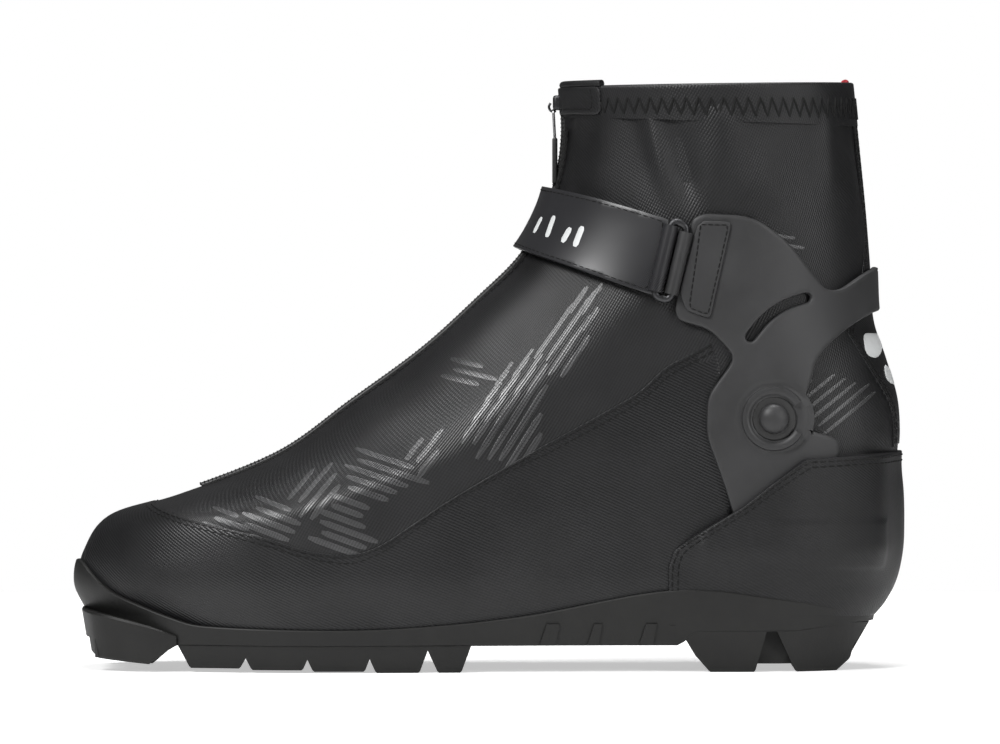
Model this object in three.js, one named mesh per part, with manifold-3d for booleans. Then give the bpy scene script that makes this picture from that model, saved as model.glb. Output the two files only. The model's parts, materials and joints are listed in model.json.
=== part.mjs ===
// Cross country ski boot, left foot, in millimetres. +Z is up, the toe points to -X and the
// outer side of the foot faces -Y. The origin is on the floor under the middle of the boot.
//
// The upper is one smooth skin. Section lines run from the front outline (toe, instep, shin) to the
// back outline (heel, calf); each line carries a closed ring round the foot. Every shell of the
// upper is the space between two offsets of that skin, cut out with outlines drawn in side view.

import * as THREE from "three";
import { mergeVertices } from "three/addons/utils/BufferGeometryUtils.js";
import Module from "manifold-3d";

const wasm = await Module();
wasm.setup();

// ---- Driving dimensions ----

const GAP = 0.3; // clearance between touching pieces
const REACH = 90; // half length of a cutter that passes through the whole boot

const UPPER_FLOOR = { toe: 13, heel: 18.5 }; // underside of the upper at its two ends
const COLLAR_SEAM = 203.2; // lower edge of the collar binding
const LEG_HALF_WIDTH = 38;
const SKIN_LEVELS = 13; // rings of every shell of the upper
const SKIN_TURNS = 26; // points of each ring

const PIVOT = { x: 101.3, z: 90.8 }; // axis on which the cuff turns
const PIVOT_CLEAR = 16; // radius of the fixed skin round the pivot
const CUFF_FRONT_ANGLE = 149.8; // degrees from +X; the cuff's skin lies between these two
const CUFF_BACK_ANGLE = 35.1;
const VAMP_ANGLE = 163.3; // the foot's skin starts again beyond these two
const HEEL_ANGLE = 28;

// Offsets from the skin's outer face: [inner face, outer face].
const SKIN = [-1.8, 0];
const STIFFENER = [-3.4, -2.1];
const LINER = [-7, -3.8];
const TONGUE = [-11, -7.4];
const CUFF_PLASTIC = [1.1, 3.2];
const KEEPER = [3.5, 4.5];
const STRAP_UNDER = [1.5, 2.3];
const STRAP_LOOPS = [2.6, 3];
const STRAP_HOOKS = [3.3, 3.7];
const STRAP_OVER = [4, 5];
const RAND = 2.2; // how far the sole's rand stands outside the skin
const HEEL_OVERLAY = [0.4, 1.7];
const OVERLAY_LIFT = 4.7; // extra offset of the overlay where the cuff's tail slides under it

const STUD_RADIUS = 3.6;
const STUD_HEAD_RADIUS = 5.5;
const WASHER_RADIUS = 8.2;
const RING_WIRE_RADIUS = 1.4;
const RING_OFFSET = 4.9; // the strap ring's centre outside the skin
const TOE_BAR = { x: -134, z: 8.4, radius: 2, endRadius: 1.7, length: 44, grip: 37.4 };
const GUIDE_GROOVE = { centre: 13, width: 8, depth: 6.6 };

// ---- Outlines in side view, [x, z] ----

// Matching points of the front and the back outline, one pair for each section line.
const SECTIONS = [
  [[-138, UPPER_FLOOR.toe], [136, UPPER_FLOOR.heel]],
  [[-144.6, 22], [141.5, 25]],
  [[-148.2, 31], [145.5, 33]],
  [[-146.2, 42.3], [147.6, 43]],
  [[-137, 54.8], [148, 53]],
  [[-112, 62.6], [147.8, 63]],
  [[-76, 77], [147, 74]],
  [[-49.8, 95.6], [147.6, 86]],
  [[-24, 114.5], [146.6, 98]],
  [[-3.6, 133], [142.5, 112]],
  [[11, 147.5], [138, 126]],
  [[20.3, 163], [136.8, 145]],
  [[25.2, 179], [135.2, 165]],
  [[27, 193], [133, 187]],
  [[26.2, 209.5], [130.5, 211.5]],
];

// Half width of the foot along its length, [x, half width].
const LATERAL_WIDTH = [[-150, 27], [-130, 38], [-100, 43], [-60, 46.8], [-10, 43], [40, 38], [100, 37], [150, 35]];
const MEDIAL_WIDTH = [[-150, 35], [-130, 43], [-95, 46.8], [-60, 45], [-10, 37], [30, 34.5], [100, 36], [150, 35]];

// Upper edge of the toe and side panel.
const VAMP_SEAM = [
  [-152, 96], [-124, 70], [-115.5, 61.4], [-105.2, 54], [-78, 47.8], [-50.8, 42.4], [-32.9, 49.4],
  [-12.5, 63], [14.6, 78.6], [41.9, 93.6], [57.5, 104.1],
];
const QUARTER_SEAM = [[84, 5], [89, 60], [84, 85], [81.4, 96.9]];
const OVERLAY_EDGE = [
  [63.8, 10], [63.8, 38], [65.9, 43.9], [71.8, 48.3], [89.9, 59.1], [104.4, 70.7], [111.6, 76.5],
  [126.2, 77.3], [160, 80],
];
const CUFF_UPPER_EDGE = [
  [72.3, 162.1], [76.3, 163.9], [89.2, 163.3], [95.8, 161.4], [105.6, 153.9], [118.7, 136.5],
  [124, 136.4], [136.2, 144.6], [148, 145],
];
const CUFF_LOWER_EDGE = [
  [148, 128.8], [137.2, 129.2], [128, 123.4], [120.9, 117.9], [114.8, 110.6], [114.1, 101],
];
const CUFF_TAIL = [
  [113.6, 86.6], [124.5, 83.5], [123, 73], [112, 66.5], [101, 58], [92, 50.5], [88.5, 51.5],
  [82.6, 69.9], [77.1, 84.8], [77.6, 98.8], [87.6, 112.6], [78.5, 122.5], [67.2, 125.8], [65.8, 129.4],
];
const STRAP_UPPER_EDGE = [[0, 175], [20.1, 173], [41.6, 168.5], [58.8, 163.4], [75, 158]];
const STRAP_LOWER_EDGE = [[0, 151], [10.3, 149.6], [28.7, 144], [50.1, 137], [66, 132.4]];
const RAND_UPPER_EDGE = [
  [-160, 40], [-147.5, 39.8], [-141.8, 38], [-136.2, 30.9], [-123.4, 23.5], [-113.4, 19.2], [-98.5, 16.4],
  [-42.7, 15.6], [10, 20], [63.6, 29.5], [101.3, 26.3], [140.1, 20], [160, 20],
];
const RAND_LOWER_EDGE = [[-160, 24], [-146.8, 22.4], [-134.7, 19.2], [-121.2, 15.6], [-112, 12]];
const BUMPER_END = -104;

// ---- Small helpers ----

const radians = THREE.MathUtils.degToRad;
const lerp = THREE.MathUtils.lerp;
const smoothstep = (low, high, x) => THREE.MathUtils.smoothstep(x, low, high);

const curve2 = (points) => new THREE.SplineCurve(points.map(([x, y]) => new THREE.Vector2(x, y)));
const smooth = (points, steps) => curve2(points).getPoints(steps).map((p) => [p.x, p.y]);

// A smooth function of x through the points.
function profile(points) {
  const line = smooth(points, 60);
  return (x) => {
    const after = line.findIndex((p) => p[0] >= x);
    if (after < 0) return line[line.length - 1][1];
    if (after === 0) return line[0][1];
    const [x0, y0] = line[after - 1];
    const [x1, y1] = line[after];
    return lerp(y0, y1, (x - x0) / (x1 - x0));
  };
}

// The point at a distance and an angle from the cuff's pivot, in side view.
function fromPivot(angle, distance) {
  return [
    PIVOT.x + distance * Math.cos(radians(angle)),
    PIVOT.z + distance * Math.sin(radians(angle)),
  ];
}

// ---- Solids ----

function solidOf(geometry) {
  const bare = geometry.clone();
  bare.deleteAttribute("normal");
  bare.deleteAttribute("uv");
  const merged = mergeVertices(bare, 1e-4);
  const mesh = new wasm.Mesh({
    numProp: 3,
    vertProperties: merged.attributes.position.array,
    triVerts: new Uint32Array(merged.index.array),
  });
  return new wasm.Manifold(mesh);
}

const unite = (solids) => solids.reduce((all, next) => all.add(next));

// An outline in side view, extruded along Y.
function prism(outline, low = -REACH, high = REACH) {
  const shape = new THREE.Shape(outline.map(([x, z]) => new THREE.Vector2(x, z)));
  const geometry = new THREE.ExtrudeGeometry(shape, { depth: high - low, bevelEnabled: false });
  return solidOf(geometry.rotateX(Math.PI / 2).translate(0, high, 0));
}

function box(low, high) {
  const size = high.map((value, axis) => value - low[axis]);
  const centre = high.map((value, axis) => (value + low[axis]) / 2);
  return solidOf(new THREE.BoxGeometry(...size).translate(...centre));
}

// A cylinder along Y, turned so that one facet faces straight down.
function pin(x, z, radius, low, high, sides = 24) {
  const geometry = new THREE.CylinderGeometry(radius, radius, high - low, sides, 1, false, Math.PI / sides);
  return solidOf(geometry.translate(x, (low + high) / 2, z));
}

// A narrow cut along a line in side view.
function kerf(line, width = GAP) {
  const side = (sign) =>
    line.map(([x, z], i) => {
      const [x0, z0] = line[Math.max(i - 1, 0)];
      const [x1, z1] = line[Math.min(i + 1, line.length - 1)];
      const length = Math.hypot(x1 - x0, z1 - z0);
      const reach = (sign * width) / 2 / length;
      return [x - (z1 - z0) * reach, z + (x1 - x0) * reach];
    });
  return prism([...side(1), ...side(-1).reverse()]);
}

const ray = (angle, from, to) => [fromPivot(angle, from), fromPivot(angle, to)];

function arc(startAngle, endAngle, radius, steps = 14) {
  const line = [];
  for (let i = 0; i <= steps; i++) line.push(fromPivot(lerp(startAngle, endAngle, i / steps), radius));
  return line;
}

// ---- The skin ----

const frontLine = curve2(SECTIONS.map((pair) => pair[0]));
const backLine = curve2(SECTIONS.map((pair) => pair[1]));
const lateralWidth = profile(LATERAL_WIDTH);
const medialWidth = profile(MEDIAL_WIDTH);

function halfWidth(x, z, lateral) {
  const foot = lateral ? lateralWidth(x) : medialWidth(x);
  const tuck = lerp(0.93, 1, smoothstep(UPPER_FLOOR.toe, 36, z));
  return lerp(foot * tuck, LEG_HALF_WIDTH, smoothstep(50, 125, z));
}

// How far the ring has opened at a distance from its rounded end.
function roundEnd(distance, radius) {
  const left = 1 - Math.min(1, distance / radius);
  return Math.sqrt(Math.max(0, 1 - left * left));
}

// level 0 is the underside and 1 the collar; turn runs from the front (0) past the outer side to
// the back (0.5) and past the inner side to the front again (1).
function skinBase(level, turn) {
  const front = frontLine.getPoint(level);
  const back = backLine.getPoint(level);
  const length = front.distanceTo(back);
  const share = (1 - Math.cos(2 * Math.PI * turn)) / 2;
  const x = lerp(front.x, back.x, share);
  const z = lerp(front.y, back.y, share);
  const lateral = THREE.MathUtils.euclideanModulo(turn, 1) < 0.5;
  const frontEnd = roundEnd(share * length, lerp(70, 52, level));
  const backEnd = roundEnd((1 - share) * length, lerp(44, 52, level));
  const y = halfWidth(x, z, lateral) * frontEnd * backEnd;
  return new THREE.Vector3(x, lateral ? -y : y, z);
}

function skinPoint(level, turn, offset) {
  const step = 1e-3;
  const along = skinBase(level, turn + step).sub(skinBase(level, turn - step));
  const up = skinBase(Math.min(1, level + step), turn).sub(skinBase(Math.max(0, level - step), turn));
  const normal = along.cross(up).normalize();
  const point = skinBase(level, turn);
  return point.addScaledVector(normal, typeof offset === "function" ? offset(point) : offset);
}

// The closed solid inside an offset of the skin; below and above stretch it past its two ends.
function skinSolid(offset, { below = 0, above = 0 } = {}) {
  const rings = [];
  for (let i = 0; i <= SKIN_LEVELS; i++) {
    const ring = [];
    for (let k = 0; k < SKIN_TURNS; k++) ring.push(skinPoint(i / SKIN_LEVELS, k / SKIN_TURNS, offset));
    rings.push(ring);
  }
  const shifted = (ring, rise) => ring.map((p) => p.clone().setZ(p.z + rise));
  if (below) rings.unshift(shifted(rings[0], -below));
  if (above) rings.push(shifted(rings[rings.length - 1], above));
  return ringSolid(rings);
}

// Joins closed rings, lowest first, and closes both ends with a ladder between their two sides.
function ringSolid(rings) {
  const count = rings[0].length;
  const index = [];
  for (let r = 0; r < rings.length - 1; r++) {
    for (let k = 0; k < count; k++) {
      const a = r * count + k;
      const b = r * count + ((k + 1) % count);
      index.push(a, b, b + count, a, b + count, a + count);
    }
  }
  const top = (rings.length - 1) * count;
  for (let k = 0; k < count / 2; k++) {
    const near = [k, k + 1];
    const far = [(count - k) % count, count - k - 1];
    if (k + 1 < count / 2) {
      index.push(top + near[0], top + near[1], top + far[1]);
      index.push(near[0], far[1], near[1]);
    }
    if (k > 0) {
      index.push(top + near[0], top + far[1], top + far[0]);
      index.push(near[0], far[0], far[1]);
    }
  }
  const geometry = new THREE.BufferGeometry();
  geometry.setAttribute("position", new THREE.Float32BufferAttribute(rings.flat().flatMap((p) => p.toArray()), 3));
  geometry.setIndex(index);
  return solidOf(geometry);
}

// The shell between two offsets, open at both ends.
function skinShell([inner, outer]) {
  return skinSolid(outer).subtract(skinSolid(inner, { below: 6, above: 6 }));
}

// The skin's distance from the middle plane at a place in side view.
function skinHalfWidthAt(x, z, lateral) {
  let low = 0;
  let high = 1;
  for (let i = 0; i < 30; i++) {
    const level = (low + high) / 2;
    const front = frontLine.getPoint(level);
    const back = backLine.getPoint(level);
    const above = (back.x - front.x) * (z - front.y) - (back.y - front.y) * (x - front.x) > 0;
    if (above) low = level;
    else high = level;
  }
  const front = frontLine.getPoint(low);
  const back = backLine.getPoint(low);
  const share = (x - front.x) / (back.x - front.x);
  const turn = Math.acos(1 - 2 * share) / (2 * Math.PI);
  return Math.abs(skinBase(low, lateral ? turn : 1 - turn).y);
}

// ---- Materials ----

const material = (color, roughness, metalness = 0) =>
  new THREE.MeshStandardMaterial({ color, roughness, metalness });

const softshell = material(0x222224, 0.7);
const twill = material(0x26262a, 0.6);
const flexFabric = material(0x1d1d1f, 0.8);
const rubber = material(0x1a1a18, 0.75);
const plastic = material(0x3b3b3c, 0.5);
const strapping = material(0x2c2c2e, 0.4);
const hardBlack = material(0x1c1c1c, 0.5);
const lining = material(0x2a2a2c, 0.9);
const felt = material(0x6d6d68, 0.95);
const steel = material(0xb8b8b8, 0.3, 1);
const darkSteel = material(0x4a4a4c, 0.4, 1);
const redFabric = material(0x8c1c20, 0.8);

const boot = new THREE.Group();
boot.name = "cross_country_boot";

function addPart(name, solid, look) {
  const mesh = solid.getMesh();
  const geometry = new THREE.BufferGeometry();
  geometry.setAttribute("position", new THREE.BufferAttribute(mesh.vertProperties, 3));
  geometry.setIndex(new THREE.BufferAttribute(mesh.triVerts, 1));
  geometry.computeVertexNormals();
  const part = new THREE.Mesh(geometry, look);
  part.name = name;
  boot.add(part);
}

// The body that has the vertex nearest to a place.
function bodyNear(bodies, place) {
  const distance = (body) => {
    const { vertProperties } = body.getMesh();
    let best = Infinity;
    for (let i = 0; i < vertProperties.length; i += 3) {
      const [x, y, z] = vertProperties.subarray(i, i + 3);
      best = Math.min(best, Math.hypot(x - place[0], y - place[1], z - place[2]));
    }
    return best;
  };
  return bodies.reduce((a, b) => (distance(b) < distance(a) ? b : a));
}

// ---- Upper: the outer skin, cut into its panels ----

// Two thin cuts, one at each side of the middle plane, within a zone of the side view.
function stripCuts(zone, halfWidthOfStrip) {
  return [-1, 1].map((side) => {
    const y = side * halfWidthOfStrip;
    return prism(zone, y - GAP / 2, y + GAP / 2);
  });
}

function addSkinPanels() {
  const zipLowZone = [[-124, 66], [-60, 98], [-20, 134], ...ray(VAMP_ANGLE, 128, 84), [-60, 62], [-108, 51]];
  const zipHighZone = [...ray(CUFF_FRONT_ANGLE, 80, 130), [4, 180], [10, 222], [50, 222], [48, 170]];
  const backLowZone = [[160, 5], [125, 5], ...ray(HEEL_ANGLE, 30, 80)];
  const backHighZone = [...ray(CUFF_BACK_ANGLE, 80, 30), [118, COLLAR_SEAM], [160, COLLAR_SEAM]];

  const cuts = [
    kerf(smooth(VAMP_SEAM, 40)),
    kerf(QUARTER_SEAM),
    kerf(ray(VAMP_ANGLE, PIVOT_CLEAR, 180)),
    kerf(ray(CUFF_FRONT_ANGLE, PIVOT_CLEAR, 180)),
    kerf(ray(CUFF_BACK_ANGLE, PIVOT_CLEAR, 90)),
    kerf(ray(HEEL_ANGLE, PIVOT_CLEAR, 90)),
    kerf(arc(HEEL_ANGLE, VAMP_ANGLE, PIVOT_CLEAR)),
    box([-REACH, -REACH, COLLAR_SEAM - GAP / 2], [2 * REACH, REACH, COLLAR_SEAM + GAP / 2]),
    ...stripCuts(zipLowZone, 5),
    ...stripCuts(zipHighZone, 5),
    ...stripCuts(backLowZone, 10),
    ...stripCuts(backHighZone, 10),
  ];
  const studHoles = pin(PIVOT.x, PIVOT.z, STUD_RADIUS + GAP, -REACH, REACH);
  const bodies = skinShell(SKIN).subtract(unite(cuts)).subtract(studHoles).decompose();

  const panels = [
    ["toe_side_panel", [-60, -45, 30], twill],
    ["vamp_cover_lateral", [-30, -30, 85], softshell],
    ["vamp_cover_medial", [-30, 30, 85], softshell],
    ["zip_lower", [-50, 0, 95.6], flexFabric],
    ["instep_flex_panel", [20, -30, 125], flexFabric],
    ["heel_quarter_lateral", [110, -36, 60], softshell],
    ["heel_quarter_medial", [110, 36, 60], softshell],
    ["back_strip_lower", [148, 0, 60], twill],
    ["achilles_flex_panel", [140, 0, 112], flexFabric],
    ["shaft_cover_lateral", [80, -38, 180], softshell],
    ["shaft_cover_medial", [80, 38, 180], softshell],
    ["back_strip_upper", [135, 0, 165], twill],
    ["zip_upper", [27, 0, 190], flexFabric],
    ["collar_binding", [80, -38, 208], softshell],
  ];
  for (const [name, place, look] of panels) addPart(name, bodyNear(bodies, place), look);
}

// ---- Upper: what lies under the skin ----

// A layer that lies along the upper's floor, between two heights above it.
function floorLayer(low, high, halfWidthOfLayer = REACH) {
  const floorAt = (x) => lerp(UPPER_FLOOR.toe, UPPER_FLOOR.heel, (x + 138) / 274);
  const ends = [-160, 160];
  const under = ends.map((x) => [x, floorAt(x) + low]);
  const over = ends.map((x) => [x, floorAt(x) + high]).reverse();
  return prism([...under, ...over], -halfWidthOfLayer, halfWidthOfLayer);
}

function addInnerShells() {
  const stiff = skinShell(STIFFENER);
  const toe = prism([[-160, 10], [-112, 10], [-108, 40], [-118, 70], [-160, 70]]);
  addPart("toe_puff", stiff.intersect(toe), hardBlack);

  const heelCup = prism([
    [64, 10], [72, 60], ...ray(VAMP_ANGLE, 24, 15), [108, 98], ...ray(HEEL_ANGLE - 1, 15, 90), [180, 10],
  ]);
  const rivets = pin(PIVOT.x, PIVOT.z, STUD_RADIUS + GAP, -REACH, REACH);
  addPart("heel_stiffener", stiff.intersect(heelCup).subtract(rivets), hardBlack);

  const sock = skinSolid(LINER[1]).intersect(floorLayer(3.9, 300));
  const hollow = skinSolid(LINER[0], { above: 8 }).intersect(floorLayer(6.4, 300));
  addPart("liner_bootie", sock.subtract(hollow), lining);

  const tongueZone = [[-52, 74], [-40, 96], [4, 146], [14, 206], [48, 206], [44, 160], [26, 124], [-16, 88], [-40, 74]];
  const tongue = skinShell(TONGUE).intersect(prism(tongueZone, -27, 27));
  addPart("tongue", tongue, lining);

  addPart("lasting_board", skinSolid(STIFFENER[0] - GAP).intersect(floorLayer(0.3, 1.8)), felt);
  addPart("footbed", skinSolid(LINER[0] - GAP).intersect(floorLayer(6.7, 9.7)), felt);
  const arch = prism([[-34, 0], [96, 0], [96, 60], [-34, 60]]);
  addPart("shank_plate", floorLayer(2.1, 3.6, 12).intersect(arch), hardBlack);

  const tabZone = [[118, 190], [118, 211], [136, 211], [136, 190]];
  const pullTab = skinShell([LINER[0] - 1.4, LINER[0] - GAP]).intersect(prism(tabZone, -9, 9));
  addPart("heel_pull_tab", pullTab, redFabric);
}

// ---- Heel overlay and cuff ----

// The overlay stands further out over the pocket in which the cuff's tail slides.
function overlayLift(point) {
  const alongPocket = smoothstep(66, 78, point.x) * (1 - smoothstep(134, 146, point.x));
  return OVERLAY_LIFT * alongPocket * smoothstep(30, 46, point.z);
}

function addHeelOverlay() {
  const edge = smooth(OVERLAY_EDGE, 40);
  const zone = prism([[160, 10], ...edge.reverse()]);
  const outer = skinSolid((p) => HEEL_OVERLAY[1] + overlayLift(p));
  const inner = skinSolid((p) => HEEL_OVERLAY[0] + overlayLift(p), { below: 6, above: 6 });
  const clearOfRand = skinSolid(RAND + GAP, { below: 3 }).intersect(prism(randOutline()));
  addPart("heel_counter_overlay", outer.subtract(inner).intersect(zone).subtract(clearOfRand), twill);
}

function randOutline() {
  const edge = smooth(RAND_UPPER_EDGE, 60).map(([x, z]) => [x, z + GAP]);
  return [[160, 0], ...edge.reverse(), [-160, 0]];
}

function addCuff() {
  const outline = [
    ...smooth(CUFF_UPPER_EDGE.slice(0, 6), 20),
    ...CUFF_UPPER_EDGE.slice(6),
    ...CUFF_LOWER_EDGE.slice(0, 2),
    ...smooth(CUFF_LOWER_EDGE.slice(2), 10),
    ...arc(38, -22, 14, 6).slice(1, -1),
    ...CUFF_TAIL,
  ];
  const slotLine = smooth([[92.9, 120], [98, 126.3], [104.5, 131], [111.9, 133.7]], 12);
  const shell = skinShell(CUFF_PLASTIC);
  const bore = pin(PIVOT.x, PIVOT.z, STUD_RADIUS + GAP, -REACH, REACH);
  const cuff = shell.intersect(prism(outline)).subtract(kerf(slotLine, 3.6)).subtract(bore);
  addPart("cuff_exoskeleton", cuff, plastic);

  for (const lateral of [true, false]) {
    const side = lateral ? "lateral" : "medial";
    const out = lateral ? -1 : 1;
    const skinY = skinHalfWidthAt(PIVOT.x, PIVOT.z, lateral);
    const turned = (points) => {
      const outline2 = points.map(([radius, height]) => new THREE.Vector2(radius, height));
      const geometry = new THREE.LatheGeometry(outline2, 20);
      if (!lateral) return solidOf(geometry.translate(PIVOT.x, skinY, PIVOT.z));
      return solidOf(geometry.rotateX(Math.PI).translate(PIVOT.x, -skinY, PIVOT.z));
    };
    const headBase = 4.5;
    const stud = [
      [0, STIFFENER[0]], [STUD_RADIUS, STIFFENER[0]], [STUD_RADIUS, headBase],
      [STUD_HEAD_RADIUS, headBase], [STUD_HEAD_RADIUS, 5.2], [3.9, 6.1], [0, 6.5],
    ];
    const washer = [
      [STUD_RADIUS + GAP, 3.6], [WASHER_RADIUS, 3.6], [WASHER_RADIUS, 4.2], [STUD_RADIUS + GAP, 4.2],
      [STUD_RADIUS + GAP, 3.6],
    ];
    addPart(`pivot_stud_${side}`, turned(stud), darkSteel);
    addPart(`pivot_washer_${side}`, turned(washer), plastic);
  }
}

// ---- Strap, its ring and its fastener ----

const RING_FRONT = { low: [58.6, 135.2], high: [64.8, 160.8] }; // centre line of the bar in the strap
const RING_REAR = { low: [64.2, 133.6], high: [70.2, 158.8] }; // centre line of the bar in the keeper
const ringPlane = skinHalfWidthAt(64, 148, true) + RING_OFFSET;

const between = (low, high, share) => [lerp(low[0], high[0], share), lerp(low[1], high[1], share)];
const shiftX = (points, dx) => points.map(([x, z]) => [x + dx, z]);

// The strap's outline in side view, with its rear end cut along a line.
function strapZone(rearEnd, inset = 0) {
  const upper = smooth(STRAP_UPPER_EDGE, 20).filter(([x]) => x < rearEnd[1][0] - 1);
  const lower = smooth(STRAP_LOWER_EDGE, 20).filter(([x]) => x < rearEnd[0][0] - 1);
  const raise = (points, dz) => points.map(([x, z]) => [x, z + dz]);
  return [...raise(upper, -inset).reverse(), ...raise(lower, inset), ...rearEnd];
}

function cylinderBetween(a, b, radius, sides = 8) {
  const from = new THREE.Vector3(...a);
  const to = new THREE.Vector3(...b);
  const geometry = new THREE.CylinderGeometry(radius, radius, from.distanceTo(to), sides);
  const direction = to.clone().sub(from).normalize();
  geometry.applyQuaternion(new THREE.Quaternion().setFromUnitVectors(new THREE.Vector3(0, 1, 0), direction));
  return solidOf(geometry.translate(...from.add(to).multiplyScalar(0.5).toArray()));
}

function addStrap() {
  const ringEdge = (dx, reach = 0) => {
    const low = between(RING_FRONT.low, RING_FRONT.high, -reach);
    const high = between(RING_FRONT.low, RING_FRONT.high, 1 + reach);
    return shiftX([low, high], dx);
  };
  // Under layer: to the ring on the outer side, and over the cuff plate on the inner side.
  const lift = (p) => (p.y > 0 ? 2.3 * smoothstep(50, 62, p.x) : 0);
  const under = skinSolid((p) => STRAP_UNDER[1] + lift(p));
  const underInner = skinSolid((p) => STRAP_UNDER[0] + lift(p), { below: 6, above: 6 });
  const lateralZone = prism(strapZone(ringEdge(-3.4)), -REACH, 0.01);
  const medialZone = prism(strapZone([[80, 130], [84, 156]]), 0, REACH);
  const anchor = { x: 76, z: 145 };
  const anchorY = skinHalfWidthAt(anchor.x, anchor.z, false);
  const rivetHole = pin(anchor.x, anchor.z, 2 + GAP, 10, REACH, 16);
  const base = under.subtract(underInner).intersect(lateralZone.add(medialZone)).subtract(rivetHole);
  addPart("strap_base", base, strapping);
  const rivetBody = pin(anchor.x, anchor.z, 2, anchorY + 3.4, anchorY + 5.2, 16);
  const rivetHead = pin(anchor.x, anchor.z, 4, anchorY + 5.2, anchorY + 6.2, 20);
  addPart("strap_anchor_rivet", rivetBody.add(rivetHead), steel);

  const front = (rearX) => prism(strapZone([[rearX - 4, 143], [rearX, 165]], 2), -REACH, 20);
  addPart("strap_loop_patch", skinShell(STRAP_LOOPS).intersect(front(40)), felt);
  addPart("strap_hook_patch", skinShell(STRAP_HOOKS).intersect(front(38)), hardBlack);

  // Outer layer: a sheet that ends in a sleeve round the ring's front bar.
  const sheetZone = prism(strapZone(ringEdge(-2)), -REACH, 0.01);
  const tipZone = prism(strapZone([[34, 145], [40, 166]]), 0, REACH);
  const sheet = skinShell(STRAP_OVER).intersect(sheetZone.add(tipZone));
  const end = (share) => {
    const [x, z] = between(RING_FRONT.low, RING_FRONT.high, share);
    return [x, -ringPlane, z];
  };
  const sleeve = cylinderBetween(end(0.06), end(0.94), RING_WIRE_RADIUS + GAP + 1);
  const sleeveBore = cylinderBetween(end(-0.3), end(1.3), RING_WIRE_RADIUS + GAP);
  addPart("strap_flap", sheet.add(sleeve).subtract(sleeveBore), strapping);
}

function addRing() {
  const corners = [RING_FRONT.low, RING_FRONT.high, RING_REAR.high, RING_REAR.low];
  const points = [];
  for (const [x, z] of corners) points.push(new THREE.Vector3(x, -ringPlane, z));
  const centre = points.reduce((sum, p) => sum.add(p), new THREE.Vector3()).multiplyScalar(0.25);
  const grown = points.map((p) => p.clone().sub(centre).multiplyScalar(1.04).add(centre));
  const bars = grown.map((p, i) => cylinderBetween(p.toArray(), grown[(i + 1) % 4].toArray(), RING_WIRE_RADIUS));
  const knuckles = grown.map((p) =>
    solidOf(new THREE.SphereGeometry(RING_WIRE_RADIUS * 1.04, 8, 5).translate(...p.toArray())),
  );
  addPart("strap_ring", unite([...bars, ...knuckles]), darkSteel);

  const keeperZone = [[73.4, 157.6], [85.8, 160.4], [78.4, 127.2], [69.4, 130.6], [68.4, 136]];
  const keeper = skinShell(KEEPER).intersect(prism(keeperZone, -REACH, 0));
  addPart("ring_keeper_tab", keeper, strapping);
}

// ---- Zip ----

function addZip() {
  const nose = frontLine.getPoint(0.955);
  addPart("zip_slider", box([nose.x - 4, -3.4, 201.4], [nose.x - 0.8, 3.4, 206.4]), darkSteel);

  const topTab = prism([[22.4, 209.8], [21.6, 212.9], [24, 213.5], [41, 213.5], [41, 212.4], [25.6, 212.2]], -5, 5);
  addPart("zip_top_tab", topTab, softshell);

  const wireX = nose.x - 3.4;
  const shank = [
    [[wireX, -1.6, 200.4], [wireX, -1.6, 190.6]],
    [[wireX, -1.6, 190.6], [wireX, 1.6, 190.6]],
    [[wireX, 1.6, 190.6], [wireX, 1.6, 200.4]],
    [[wireX, 1.6, 200.4], [wireX, -1.6, 200.4]],
  ];
  const wire = shank.map(([a, b]) => cylinderBetween(a, b, 0.6, 6));
  const bends = shank.map(([a]) => solidOf(new THREE.SphereGeometry(0.62, 6, 4).translate(...a)));
  addPart("zip_pull_wire", unite([...wire, ...bends]), steel);
  addPart("zip_pull_tail", box([wireX - 0.9, -2.2, 176.5], [wireX + 0.7, 2.2, 189.6]), strapping);
}

// ---- Sole ----

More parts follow.
